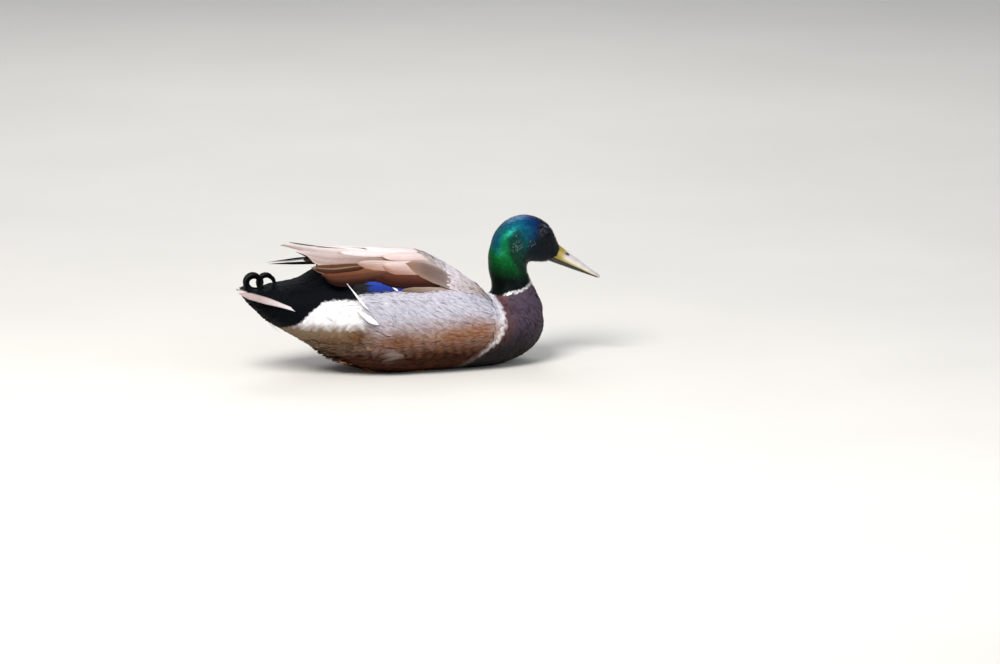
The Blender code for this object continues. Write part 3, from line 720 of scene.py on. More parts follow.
def zone_of(spots):
    """The patch of the coat that a place on the trunk belongs to."""
    x, z = spots[..., 0], spots[..., 2]
    zone = np.where(top_gap(spots) > 0, "back", "flank")
    zone = np.where((zone == "flank") & (z < 15), "belly", zone)
    zone = np.where(x < -61 + 0.12 * (60 - z).clip(0, 60), "rear", zone)
    zone = np.where(x > ramp(z, *CHEST_EDGE) - 4, "breast", zone)
    return np.where(above_collar(spots) > -1.8, "head", zone)


def lay_zone(name, zone, spacing, seed, length, half, material, wanted=lambda spots: True, **how):
    """Covers one patch of the trunk, or the wanted part of it, with small feathers."""
    at, normals = roots_over(spacing, lambda spots: (zone_of(spots) == zone) & wanted(spots), seed)
    return coat(name, at, normals, length, half, body_lie, material, seed + 100, **how)


def flank_lift(spots):
    """The uppermost flank feathers ride over the wing's lower edge."""
    return 0.3 + 0.9 * edge(top_gap(spots) + 9, 10)


def rear_lift(spots):
    """The feathers under the tail stand off it loosely."""
    return 0.35 + 2.6 * edge(-134 - spots[:, 0], 12) * edge(78 - spots[:, 2], 16)


ARCH = ((-140, 120), (-91, 80), (-25, 52), (42, 46), (92, 42))  # the height wings spring from


def back_lift(spots):
    """The mantle's rearmost feathers cover the roots of the large ones."""
    return 0.3 + 1.5 * edge(48 - spots[:, 0], 30)


# By the turn up round the wing, degrees, how far back the mantle's small feathers reach, mm.
MANTLE_END = ((30, 50), (40, 45), (50, 43), (60, 35), (75, 27), (90, 23))


def wing_turn(spots):
    """How far up round the folded wing a spot lies from the line it springs from, degrees."""
    return np.degrees(np.arctan2(spots[..., 2] - ramp(spots[..., 0], *ARCH), np.abs(spots[..., 1])))


def on_mantle(spots):
    """True where the back's own small feathers grow, ahead of the large ones."""
    return spots[:, 0] > ramp(wing_turn(spots), *MANTLE_END)


def beside_feet(spots):
    """True where the belly's longest feathers hang over the folded feet."""
    span = (spots[:, 0] > -98) & (spots[:, 0] < 6) & (np.abs(spots[:, 1]) > 12)
    return span & (spots[:, 2] > 1.5) & (spots[:, 2] < ramp(spots[:, 0], (-30, 32), (6, 10)))


def on_flank_edge(spots):
    """True along the flank's upper border, where broad feathers overlap the folded wing."""
    return (np.abs(spots[:, 0] - 2) < 62) & (np.abs(top_gap(spots) + 5) < 2.5)


def along_edge(spots):
    """Back, level with the flank's upper border."""
    slope = (ramp(spots[..., 0] - 4, *FLANK_TOP) - ramp(spots[..., 0] + 4, *FLANK_TOP)) / 8
    return np.stack([-np.ones_like(slope), np.zeros_like(slope), slope], axis=-1)


def foot_lift(spots):
    """The longest feathers stand off over the heels."""
    under = edge(36 - np.abs(spots[:, 1]), 8)
    return 2.3 + 4.0 * under * np.exp(-(((spots[:, 0] + 68) / 11) ** 2))


soft_plumage = plumage(
    "soft_plumage", 0.72, shade=(0.88, 1.06), pencil=0.06, Specular_IOR_Level=0.12
)
belly = lay_zone(
    "belly_coat", "belly", spacing=3.6, seed=21, length=14.0, half=3.6, material=soft_plumage,
    columns=2, dark=0.2, pale=0.12,
)
at, normals = roots_over(3.2, beside_feet, 20)
thigh = coat(
    "thigh_coat", at, normals, length=17.0, half=3.0, lie=body_lie, material=soft_plumage,
    seed=120, columns=2, depth=-1.6, lift=foot_lift, dark=0.15, pale=0.12,
)
for side_name, side in SIDES.items():
    near = lambda spots, side=side: spots[:, 1] * side > 0
    flank = lay_zone(
        f"flank_coat_{side_name}", "flank", spacing=2.15, seed=22 + int(side), length=20.0,
        half=1.6, material=soft_plumage, wanted=near, outline=TAPERED, columns=2, stray=0.12,
        vary=0.06, fringe=0.08, lift=flank_lift,
    )
    wisps = lay_zone(
        f"flank_wisps_{side_name}", "flank", spacing=3.6, seed=42 + int(side), length=18.0,
        half=0.5, material=soft_plumage, wanted=near, outline=TAPERED, columns=2, stray=0.18,
        vary=0.08, dark=0.4, pale=0.06, lift=lambda spots: flank_lift(spots) + 0.25,
    )
    at, normals = roots_over(2.6, lambda spots: near(spots) & on_flank_edge(spots), 52 + int(side))
    row = coat(
        f"flank_edge_{side_name}", at, normals, length=24.0, half=2.6, lie=along_edge,
        material=soft_plumage, seed=62 + int(side), outline=TAPERED, columns=2, stray=0.02,
        vary=0.02, fringe=0.03, lift=1.3, ruffle=0.03,
    )
firm_plumage = plumage("firm_plumage", 0.6, shade=(0.82, 1.1), Specular_IOR_Level=0.18)
breast = lay_zone(
    "breast_coat", "breast", spacing=2.7, seed=25, length=10.0, half=3.3, material=firm_plumage,
    vary=0.07, lift=0.25, dark=0.05,
)
silky = plumage("rear_plumage", 0.7, shade=(0.88, 1.06), Specular_IOR_Level=0.06)
rear = lay_zone(
    "rear_coat", "rear", spacing=2.9, seed=26, length=13.0, half=3.5, material=silky, vary=0.04,
    lift=rear_lift,
)
back_plumage = plumage(
    "back_plumage", 0.66, shade=(0.92, 1.1), pencil=0.14, Specular_IOR_Level=0.2
)
back = lay_zone(
    "back_coat", "back", spacing=2.3, seed=27, length=13.0, half=2.6, material=back_plumage,
    wanted=on_mantle, outline=TAPERED, vary=0.05, lift=back_lift, dark=0.06, ruffle=0.08,
    fringe=0.1,
)

# ==== The head and neck ====
# The head's feathers are the smallest and closest, of burnished green horn, with their iridescent
# sheen painted into their colour: blue on the crown, with painted shade on the face.
# A ring of white ones parts them from the breast. They stand in the skin as the trunk's do, and
# leave the eyes and the bill's root free.
HEAD_SPACING = 1.45
BARE_LID = 4.6  # how far the bare lid keeps the feathers from the eye, mm
TOMIUM = -21.6  # the bill's cutting edge, below the head's middle
BILL_START, BILL_END = 14, 85.4  # ahead of the head's middle, mm
# Along the bill from the head's middle: its half width, its ridge above the cutting edge, and
# the lower mandible's depth below it, mm.
BILL_HALF = (
    (14, 10.0), (30, 9.9), (46, 9.4), (58, 9.8), (69, 11.0), (75.5, 11.0), (81.5, 8.6), (85.4, 1.6),
)
CULMEN = ((14, 16.4), (29, 14.0), (45, 10.3), (56, 8.2), (67, 5.6), (77.5, 3.6), (85.4, 1.2))
JAW = ((14, 6.2), (30, 5.2), (55, 3.4), (71, 1.9), (85.4, 0.6))
SHORT = ((0, 0), (0.3, 0.85), (0.65, 1.0), (0.9, 0.6), (1, 0))


def head_lie(spots):
    """Back over the crown, down the nape, back along the jaw; down the neck below."""
    dx, dz = spots[..., 0] - THROAT[0], spots[..., 2] - THROAT[1]
    ring = unit(np.stack([-dz, np.zeros_like(dx), dx], axis=-1))
    down = unit(np.array((-0.45, 0.0, -1.0)))
    return mix(ring, down, edge(101 - spots[..., 2], 22))


def eye_gap(spots):
    """How far spots lie from the nearer eye's outermost point, mm."""
    spots = in_head(spots)
    spots[..., 1] = np.abs(spots[..., 1])
    return np.linalg.norm(spots - EYE_AT - (0, 3.9, 0), axis=-1)


def under_bill(spots):
    """True where the bill's base covers the face."""
    x, y, z = np.moveaxis(in_head(spots), -1, 0)
    share = 1 - (y / ramp(x, *BILL_HALF)) ** 2
    high = TOMIUM + ramp(x, *CULMEN) * np.sqrt(share.clip(0, 1))
    return (x > BILL_START) & (share > 0) & (z < high) & (z > TOMIUM - ramp(x, *JAW))


head_at, head_normals = roots_over(HEAD_SPACING, lambda spots: above_collar(spots) > -2.4, 31)
head_spots = measures(head_at)
open_skin = ~under_bill(head_spots) & (eye_gap(head_spots) > BARE_LID)
over_ring = (above_collar(head_spots) > 0.9) | (head_spots[:, 0] < 104)
face_share = edge(in_head(head_spots)[:, 0] + 4, 20)
burnished = plumage(
    "burnished_plumage", 0.38, shade=(0.78, 1.2), pitch=0.5, bump=0.15, size=5.0, Metallic=0.5,
    Specular_IOR_Level=0.15,
)
snowy = plumage("collar_plumage", 0.65, shade=(0.9, 1.05), Specular_IOR_Level=0.3)
for name, chosen, material, seed in (
    ("head_coat", open_skin & over_ring, burnished, 32), ("collar_coat", ~over_ring, snowy, 33),
):
    sizes = mix(np.array([[5.4, 1.25]]), np.array([[3.4, 0.85]]), face_share[chosen])
    piece = coat(
        name, head_at[chosen], head_normals[chosen], length=sizes[:, 0], half=sizes[:, 1],
        lie=head_lie, material=material, seed=seed, outline=SHORT, columns=2, stray=0.12,
        depth=HEAD_DEPTH, lift=0.15, crown=0.12, vary=0.14, ruffle=0.06,
    )
# Where the cheek's barbs are worn to their pale ends: length along, height, radius, mm.
WORN = ((121.5, 126.5, 5.4), (140.0, 127.5, 3.2))
share = sum(
    np.exp(-((head_spots[:, 0] - x) ** 2 + (head_spots[:, 2] - z) ** 2) / radius**2)
    for x, z, radius in WORN
)
worn = open_skin & (np.random.default_rng(34).random(len(share)) * 1.4 < share)
piece = coat(
    "worn_feathers", head_at[worn], head_normals[worn], length=3.0, half=0.6, lie=head_lie,
    material=snowy, seed=35, outline=SHORT, columns=2, depth=HEAD_DEPTH, lift=0.35, vary=0.35,
    tint=dye(96, 112, 106),
)

# ==== The scapulars and tertials ====
# Long broad vanes from the shoulder and the inner wing lie over the folded wings in tiers, the
# foremost on top. Each is a stiff flat vane of horn on a shaft that shows as a fine ridge, its
# root sunk under the coat.
folded = [f"{part}_{side}" for part in ("wing", "tertials", "secondaries") for side in SIDES]
drape = Form(cast("wing_form", ["trunk"] + folded, 2.0, 6))
LARGE_STOPS = np.concatenate([np.linspace(0, 0.8, 15), [0.85, 0.9, 0.94, 0.97, 0.99, 1.0]])
LARGE_ACROSS = np.array((-1, -0.8, -0.6, -0.4, -0.2, -0.06, 0, 0.06, 0.2, 0.4, 0.6, 0.8, 1))
u_large, v_large = np.meshgrid(LARGE_STOPS, LARGE_ACROSS, indexing="ij")


def on_wings(station, turn):
    """The folded wing's surface at a station along the duck, turned up from its spring line."""
    axis = np.stack([station, np.zeros_like(station), ramp(station, *ARCH)], axis=-1)
    angle = np.radians(turn)
    outward = np.stack([np.zeros_like(angle), -np.cos(angle), np.sin(angle)], axis=-1)
    start = places(axis) + outward * 0.14
    spots, normals = start.copy(), outward.copy()
    for i, (origin, way) in enumerate(zip(start.tolist(), outward.tolist())):
        hit = drape.tree.ray_cast(Vector(origin), -Vector(way), 0.139)
        if hit[0] is None:
            hit = drape.tree.find_nearest(Vector(origin) - Vector(way) * 0.09)
        spots[i] = hit[0]
        normals[i] = drape.facing(spots[i : i + 1], np.array([hit[2]]))[0]
    return spots, normals


def eased(rows, rounds=3):
    """Evens out a line of points or normals, its ends kept."""
    rows = rows.copy()
    for _ in range(rounds):
        rows[1:-1] = (rows[:-2] + rows[1:-1] * 2 + rows[2:]) / 4
    return rows


def on_shaft(v, wide=0.07):
    """How near a place across a vane is to its shaft: 1 on it, nothing far from it."""
    return np.exp(-((v / wide) ** 2))


def other_side(values):
    """Large vanes, or the values over them, with their columns turned about."""
    return values[..., ::-1, :]


def large_vane(track, half, lift, outline, slant=0.0):
    """One large vane of the right side, laid over the folded wing along a track of three points."""
    u = LARGE_STOPS
    bend = [(1 - u) ** 2 * a + 2 * u * (1 - u) * b + u**2 * c for a, b, c in zip(*track)]
    line, up = on_wings(*bend)
    line, up = eased(line), unit(eased(up, 6))
    along = unit(np.gradient(line, axis=0))
    across = unit(np.cross(up, along))
    widths = half * np.interp(u, *zip(*outline))
    v = LARGE_ACROSS
    flat = line[:, None] + across[:, None] * (widths[:, None] * v)[..., None] * MM
    flat = flat - along[:, None] * (slant * u[:, None] ** 4 * (v + 1) / 2)[..., None] * MM
    found, _ = drape.snap(flat)
    gap = ((found - flat) * up[:, None]).sum(axis=-1)
    limit = (widths[:, None] * v) ** 2 / 60 * MM
    gap = np.clip(gap, -limit * 1.6 - 0.0002, 0.0004)
    bury = (1 - u[:, None] / 0.45).clip(0, 1)
    height = lift * (0.35 + 0.65 * u[:, None]) - (lift + 1.2) * bury**1.5
    height = height - 0.45 * np.abs(v) ** 6
    height = height + 0.35 * (1 - v**2) * np.minimum(widths[:, None] / 6, 1) + 0.16 * on_shaft(v)
    return flat + up[:, None] * (gap + height * MM)[..., None]


POINTED = (
    (0, 0.3), (0.1, 0.6), (0.3, 0.9), (0.55, 1), (0.75, 0.86), (0.88, 0.58), (0.95, 0.33), (1, 0),
)
BLUNT = (
    (0, 0.35), (0.12, 0.7), (0.35, 0.95), (0.6, 1), (0.8, 0.93), (0.9, 0.74), (0.96, 0.48), (1, 0),
)


def vane_paint(tints, seed=0):
    """Colours over a large vane, given its paint as in a row of the tables below."""
    random = np.random.default_rng(seed)
    upper_root, upper_tip, lower_root, lower_tip, rim, shaft, *heart = [dye(*t) for t in tints]
    u, v = u_large, v_large
    out = edge(u - 0.6, 0.7)
    upper, lower = mix(upper_root, upper_tip, out), mix(lower_root, lower_tip, out)
    colour = mix(upper, lower, edge(v + 0.1, 1.5))
    colour = mix(colour, rim, np.maximum(edge(np.abs(v) - 0.93, 0.16), edge(u - 0.97, 0.03)) * 0.7)
    colour = mix(colour, shaft, on_shaft(v, 0.05) * 0.5 * edge(u - 0.4, 0.4))
    if heart:
        spot = 0.8 * np.exp(-(((u - 0.55) / 0.34) ** 4) - ((v - 0.15) / 0.86) ** 6)
        colour = mix(colour, heart[0], spot)
    return colour * random.normal(1, 0.05, len(LARGE_ACROSS))[None, :, None]


PINK_WHITE, PALE_GREY = (222, 212, 213), (200, 186, 184)
# Each: track of station and turn from root to tip, half width, lift, outline, slant of its end,
# then its paint: upper edge at root and tip, lower edge at root and tip, rim, shaft, heart.
TERTIALS = [
    (((26, 45), (-10, 43.5), (-50, 39)), 7.5, 0.5, BLUNT, 0,
     ((84, 38, 27), (74, 30, 20), (30, 8, 5), (28, 6, 4), (26, 6, 4), (30, 8, 5))),
    (((0, 58), (-42, 49), (-104, 24)), 12.0, 0.8, BLUNT, 4,
     ((136, 92, 68), (110, 60, 38), (22, 4, 2), (28, 6, 3), (30, 8, 5), (56, 22, 12))),
    (((-20, 60), (-70, 51), (-112, 28)), 9.0, 1.1, POINTED, 0,
     ((92, 56, 38), (90, 60, 44), (36, 13, 7), (42, 20, 11), (150, 118, 94), (200, 166, 134))),
    (((0, 73), (-64, 62), (-127, 44)), 13.0, 1.1, BLUNT, 16,
     ((172, 150, 146), (184, 170, 170), (108, 74, 56), (156, 138, 132),
      (190, 178, 174), (132, 110, 100))),
    (((-5, 88), (-78, 80), (-137, 61.5)), 11.5, 1.3, POINTED, 0,
     (PINK_WHITE, (206, 198, 196), (196, 178, 174), (140, 120, 112),
      (104, 82, 74), (216, 206, 202))),
]
SCAPULARS = [
    (((52, 36), (16, 36.2), (-20, 34.6)), 3.3, 1.2, BLUNT, 0,
     ((164, 148, 146), (116, 96, 80), (148, 132, 128), (104, 84, 62),
      (120, 98, 74), (110, 90, 70))),
    (((30, 43.4), (-2, 43.4), (-40, 42.4)), 8.0, 1.4, BLUNT, 0,
     ((92, 52, 38), (86, 44, 31), (42, 16, 10), (38, 12, 7), (46, 20, 12), (52, 24, 16))),
    (((18, 60), (-18, 59), (-62, 53)), 8.5, 1.5, BLUNT, 0,
     ((200, 182, 178), (188, 166, 158), (172, 146, 136), (140, 106, 92),
      (138, 108, 96), (150, 122, 110))),
    (((20, 85), (-26, 79), (-78, 69)), 11, 1.6, POINTED, 0,
     (PINK_WHITE, PINK_WHITE, PALE_GREY, PALE_GREY, (112, 82, 70), (218, 204, 198))),
    (((40, 88), (4, 87), (-44, 85)), 10, 1.7, BLUNT, 0,
     (PALE_GREY, PINK_WHITE, PALE_GREY, PINK_WHITE, (176, 156, 150), (212, 198, 194))),
    (((40, 55.5), (4, 56), (-36, 54.5)), 11.4, 1.7, BLUNT, 0,
     ((206, 188, 186), (204, 184, 182), (176, 152, 146), (132, 92, 76),
      (132, 98, 84), (184, 162, 154))),
    (((42, 72), (6, 73.5), (-32, 68)), 10.2, 1.9, BLUNT, 0,
     (PALE_GREY, (210, 190, 188), (190, 172, 168), (196, 172, 168),
      (150, 114, 100), (204, 184, 178))),
    (((52, 45.5), (26, 50), (-9, 59.5)), 15.5, 2.1, POINTED, 0,
     ((206, 196, 200), (140, 108, 96), (186, 172, 172), (126, 94, 78),
      (136, 106, 70), (100, 82, 74), (84, 62, 52))),
]
DRAWN_IN = 17  # how much further the left wing is drawn in than the right, mm
sleek = plumage(
    "sleek_plumage", 0.55, shade=(0.8, 1.1), pitch=0.75, bump=0.15, size=16.0,
    Specular_IOR_Level=0.07,
)
for side_name, side in SIDES.items():
    for name, group, slot_name, replaced in (
        ("tertials", TERTIALS, "tertial_plumage", f"tertials_{side_name}"),
        ("scapulars", SCAPULARS, "mantle_plumage", None),
    ):
        grids = []
        for track, half, lift, outline, slant, _ in group:
            start, bend, tip = track
            if side > 0 and name == "tertials":
                tip = (tip[0] + DRAWN_IN + slant, tip[1])
            grids.append(large_vane((start, bend, tip), half, lift, outline, slant))
        grid = np.stack(grids)
        colours = np.stack([vane_paint(tints, seed=i) for i, (*_, tints) in enumerate(group)])
        if side > 0:
            grid, colours = other_side(grid * (1, -1, 1)), other_side(colours)
        piece = feather_piece(f"{name}_plumes_{side_name}", grid, colours, sleek, patch=0.12)
        if replaced:
            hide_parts(replaced)

# ==== The secondaries and their speculum ====
# The folded secondaries show as a blue panel of glossy horn between the tertials and the flank,
# closed behind by a black bar. Their roots are under the tertials, and loose white vanes hang
# beside them over the flank.
SPECULUM, BAR_BLACK = dye(16, 50, 150), dye(5, 6, 10)


def bar_paint(u, v):
    """A secondary's outer web: blue, then a black bar."""
    colour = mix(SPECULUM, BAR_BLACK, edge(u - 0.68, 0.08))
    return colour * (1 - 0.25 * np.abs(v)[..., None])


SECONDARIES = 5  # that show, each a little lower and shorter than the last
glossy = plumage(
    "speculum_plumage", 0.34, shade=(0.8, 1.2), pitch=0.7, bump=0.2, Metallic=0.35
)
for side_name, side in SIDES.items():
    grids = []
    for i in range(SECONDARIES):
        step = i / (SECONDARIES - 1)
        track = ((-14, 40 - 10 * step), (-42, 37 - 12 * step), (-77 + 12 * step, 31 - 13 * step))
        grids.append(large_vane(track, 5.0, 0.3 - 0.25 * i, BLUNT))
    grid = np.stack(grids)
    colours = np.stack([bar_paint(u_large, v_large)] * SECONDARIES)
    if side > 0:
        grid, colours = other_side(grid * (1, -1, 1)), other_side(colours)
    piece = feather_piece(f"speculum_{side_name}", grid, colours, glossy, patch=0.12)
    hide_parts(f"secondaries_{side_name}")


def free_vane(points, up, half, outline, crown=0.12):
    """A vane along free points in mm, not laid on the body: its grid."""
    points, u = np.array(points, dtype=float), LARGE_STOPS
    knots = np.linspace(0, 1, len(points))
    line = np.stack([np.interp(u, knots, points[:, i]) for i in range(3)], axis=-1)
    line = places(eased(line, 8))
    along = unit(np.gradient(line, axis=0))
    across = unit(np.cross(np.broadcast_to(up, line.shape), along))
    normal = np.cross(along, across)
    widths = half * np.interp(u, *zip(*outline))
    v = LARGE_ACROSS[None, :, None]
    wide = widths[:, None, None] * MM
    arch = wide * crown * (1 - v**2) + 0.1 * on_shaft(v) * MM
    return line[:, None] + across[:, None] * wide * v + normal[:, None] * arch


# The loose white vanes. Each: its points from root to tip, half width, mm.
LANCES = [
    (((-78, -55.5, 103), (-70, -60.5, 92), (-63, -63.5, 82), (-56, -65.0, 74)), 1.5),
    (((-71, -62.3, 77.5), (-64, -65, 71.5), (-56, -67, 65), (-46, -68, 58.5)), 3.4),
    (((-29.5, -60.8, 96.5), (-27.5, -61.2, 95.2), (-25.5, -61.6, 93.9), (-23.5, -62.0, 92.6)), 1.1),
]
LANCE = ((0, 0.15), (0.2, 0.35), (0.45, 0.8), (0.65, 1), (0.82, 0.8), (0.93, 0.4), (1, 0))
for side_name, side in SIDES.items():
    grid = np.stack([free_vane(points, (0, -1, 0.25), half, LANCE) for points, half in LANCES])
    if side > 0:
        grid = other_side(grid * (1, -1, 1))
    colours = np.broadcast_to(WHITE, grid.shape) * (1 - 0.1 * v_large[None, ..., None] ** 2)
    piece = feather_piece(f"white_lances_{side_name}", grid, colours, silky, patch=0.12)

# ==== The primaries ====
# The longest quills of each wing slide together under the tertials, and their tips cross
# behind them over the rump. They are stiff grey-brown horn, pointed, and free behind their roots.
QUILLS, QUILL_BROWN = 4, dye(20, 16, 17)
matt = plumage(
    "quill_plumage", 0.8, shade=(0.8, 1.1), pitch=0.75, bump=0.1, size=16.0,
    Specular_IOR_Level=0.02,
)
for side_name, side in SIDES.items():
    grids = []
    for i in range(QUILLS):
        root = np.array((-66 + 4 * i, -24.0, 118 - 0.9 * i))
        tip = np.array((-149 + 7 * i, -4.2 - 1.2 * i, 117.6 - 0.3 * i))
        bend, half = (root + tip) / 2 + (0, 0, 1.5), 3.6 - 0.4 * i
        grids.append(free_vane((root, bend, tip), (0, -0.1, 1.0), half, POINTED, 0.06))
    grid = np.stack(grids)
    if side > 0:
        grid = other_side(grid * (1, -1, 1))
    fade = 1.3 - 0.7 * u_large[None, ..., None]
    colours = np.broadcast_to(QUILL_BROWN, grid.shape) * fade
    piece = feather_piece(f"primaries_quills_{side_name}", grid, colours, matt, patch=0.12)
    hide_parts(f"primaries_{side_name}")

# ==== The tail ====
# Eighteen pale, buff-edged feathers fan out from the rump, the middle pair on top, and slimmer
# ones stand beside and below them. They are stiff horn, set by their quills in the rump.
TAIL_FEATHERS, TAIL_LENGTH, TAIL_BEND = 18, 64.0, 4.0
TAIL_ROOT = np.array((-122.0, 0.0, 68.0))
TAIL_PITCH, TAIL_SPREAD = math.radians(25), math.radians(3)


def tail_spot(forward, sideways, lift):
    """A place in the fan's own measures, mm, as lengths along, across and up the duck."""
    c, s = math.cos(TAIL_PITCH), math.sin(TAIL_PITCH)
    fan = np.stack([-forward * c + lift * s, sideways, forward * s + lift * c], axis=-1)
    return fan + TAIL_ROOT


TAIL_PALE, TAIL_GREY, BUFF = dye(222, 208, 200), dye(120, 104, 94), dye(236, 228, 222)
grids, colours = [], []
for i in range(TAIL_FEATHERS):
    share = (i + 0.5) / TAIL_FEATHERS * 2 - 1
    turn, reach = share * TAIL_SPREAD, TAIL_LENGTH * (1 - 0.07 * share**2)
    u, v = u_large, v_large
    half = 5.6 * np.interp(u, *zip(*POINTED))
    sideways = share * 12.0 + u * reach * math.sin(turn) - half * v
    level = 0.9 * (1 - abs(share)) - TAIL_BEND * u**2 - 3 * (sideways / 20) ** 2 + 0.3 * (1 - v**2)
    level = level + 0.12 * on_shaft(v) - 0.2 * v * np.sign(share)
    forward = u * reach * math.cos(turn) + 0.06 * half * np.abs(v)
    grids.append(places(tail_spot(forward, sideways, level)))
    inner = 1 - abs(share)
    web = mix(TAIL_PALE, TAIL_GREY, inner * 0.8)
    web = mix(web, WHITE, edge(0.25 - u, 0.2))
    web = mix(web, BUFF, edge(np.abs(v) - 0.8, 0.3))
    colours.append(web * (1 - 0.4 * on_shaft(v, 0.06))[..., None])
# The slim feathers. Each: its points from root to tip, the way its face looks, half width, and
# the sides of the duck that have one.
SIDE_VANES = [
    (((-112.5, -40.2, 67.2), (-130, -38.6, 74.3), (-146, -35.6, 80.6), (-161, -31, 85),
      (-174, -25, 88.8), (-185.6, -20, 91.6)), (-0.1, -1, 0.35), 3.7, (-1,)),
    (((-123.5, -38.4, 71.3), (-134, -38.0, 76), (-147, -34.0, 81), (-159, -27, 85),
      (-168, -19, 88.8), (-175, -13, 91)), (-0.1, -1, 0.35), 4.0, (1,)),
    (((-135.5, -7, 43.5), (-145, -7.5, 54), (-155, -7.5, 65.5), (-165.5, -7, 77),
      (-174, -6.5, 86)), (-0.75, -0.35, -0.6), 1.6, (-1, 1)),
]
SLIM = ((0, 0.1), (0.15, 0.3), (0.35, 0.62), (0.55, 1), (0.8, 1), (0.92, 0.6), (1, 0))
slim_web = mix(dye(216, 210, 212), dye(160, 142, 142), edge(u_large - 0.4, 0.5))
slim_web = mix(slim_web, dye(124, 106, 102), edge(np.abs(v_large) - 0.75, 0.3) * 0.6)
for points, up_way, half, sides in SIDE_VANES:
    for side in sides:
        grid = free_vane(points, up_way, half, SLIM, 0.1)
        grids.append(grid if side < 0 else other_side(grid * (1, -1, 1)))
        colours.append(slim_web if side < 0 else other_side(slim_web))
tail = feather_piece("tail_fan", np.stack(grids), np.stack(colours), sleek, patch=0.12)
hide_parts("tail")

# ==== The tail curls ====
# Four black central coverts of thin horn roll up and forward into rings over the tail, rooted
# among its middle feathers.
# Each: its ring's middle along and up, radius, turn in degrees, straight root, half width, side.
CURLS = [
    (-163.0, 97.4, 11.4, 300, 10, 4.4, -1),
    (-161.8, 97.8, 11.0, 290, 9, 4.2, 1),
    (-149.4, 96.8, 11.2, 300, 12, 3.6, -1),
    (-148.2, 97.2, 10.8, 290, 12, 3.4, 1),
]
CURL_LEAN = math.radians(46)
STRAIGHT = 0.22  # the share of a curl's length before it rolls
CURL_BLACK = dye(4, 6, 10)
satin = plumage("curl_plumage", 0.45, shade=(0.8, 1.3), pitch=0.6, Specular_IOR_Level=0.15)
for number, (x, z, radius, turn, root, half, side) in enumerate(CURLS, 1):
    u = LARGE_STOPS
    rolled = np.clip((u - STRAIGHT) / 0.78, 0, 1)
    angle = np.radians(-90 - turn * rolled)
    wound = (radius - half * math.sin(CURL_LEAN)) * (1 - 0.08 * rolled)
    line_x = np.where(u < STRAIGHT, x + root * (1 - u / STRAIGHT), x + np.cos(angle) * wound)
    line_z = z + np.sin(angle) * wound
    outward = np.stack([np.cos(angle), np.zeros_like(angle), np.sin(angle)], axis=-1)
    centre = np.stack([line_x, np.full_like(u, side * (half + 0.35)), line_z], axis=-1)
    widths = half * np.interp(u, (0, 0.3, 0.8, 0.93, 1), (0.6, 1, 0.85, 0.55, 0))
    v = LARGE_ACROSS
    across = np.array((0.0, math.cos(CURL_LEAN), 0.0)) + outward * math.sin(CURL_LEAN) * side
    grid = centre[:, None] + across[:, None] * (widths[:, None] * v)[..., None]
    arch = 0.9 * (1 - v**2) * np.minimum(widths[:, None] / 3, 1)
    grid = grid + outward[:, None] * arch[..., None]
    grid = other_side(places(grid)[None])
    colours = np.broadcast_to(CURL_BLACK, grid.shape)
    curl = feather_piece(
        f"curl_{number}", grid, colours, satin, patch=0.4, flat=np.array([[0.3, 0.3]])
    )
    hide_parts(f"tail_curl_{number}")

# ==== The bill ====
# Two horn mandibles, the upper arched and spread into a spoon with a small nail at its tip and
# a nostril on each side near its base, a shallow dent painted black as the shade in its opening.
# The upper is yellow at its root and painted pale along its top as a painted highlight. The lower
# is thin and mostly hidden, painted dark brown as painted shade. Both stand in the head by their
# roots.


def lofted(name, rings, paints, material, closed_ends=True):
    """A piece with a skin of faces through rings of equal points, and a colour for each point."""
    around, last = len(rings[0]), (len(rings) - 1) * len(rings[0])
    faces = [
        (r + i, r + (i + 1) % around, r + around + (i + 1) % around, r + around + i)
        for r in range(0, last, around)
        for i in range(around)
    ]
    if closed_ends:
        faces += [tuple(range(around))[::-1], tuple(range(last, last + around))]
    mesh = bpy.data.meshes.new(name)
    mesh.from_pydata(np.concatenate(rings).tolist(), [], faces)
    mesh.polygons.foreach_set("use_smooth", [True] * len(mesh.polygons))
    set_colour(mesh, np.concatenate(paints))
    mesh.materials.append(material)
    return new_piece(name, mesh)


def from_head(lengths):
    """Lengths forward of the head's middle, across and above it, as places in the frame."""
    c, s = math.cos(HEAD_PITCH), math.sin(HEAD_PITCH)
    x, y, z = np.moveaxis(np.asarray(lengths, dtype=float), -1, 0)
    return places(np.stack([x * c + z * s, y, -x * s + z * c], axis=-1) + HEAD_AT)


def bow(value, exponent):
    """A value's size raised to a power, its sign kept: squares off a round section."""
    return np.sign(value) * np.abs(value) ** exponent


def mottled(name, size, shades, roughs, bump, **sockets):
    """A finish of stored colour, with slow patches in its shade and a fine grain in its gloss."""
    material, nodes = new_material(name)
    patches = nodes.group(mottle, Size=size, Low=shades[0], High=shades[1])
    colour = nodes.tinted(nodes.stored(), patches["Level"])
    roughness = nodes.ranged(patches["Grain"], *roughs)
    finish_surface(nodes, colour, roughness, patches["Grain"], bump, **sockets)
    return material


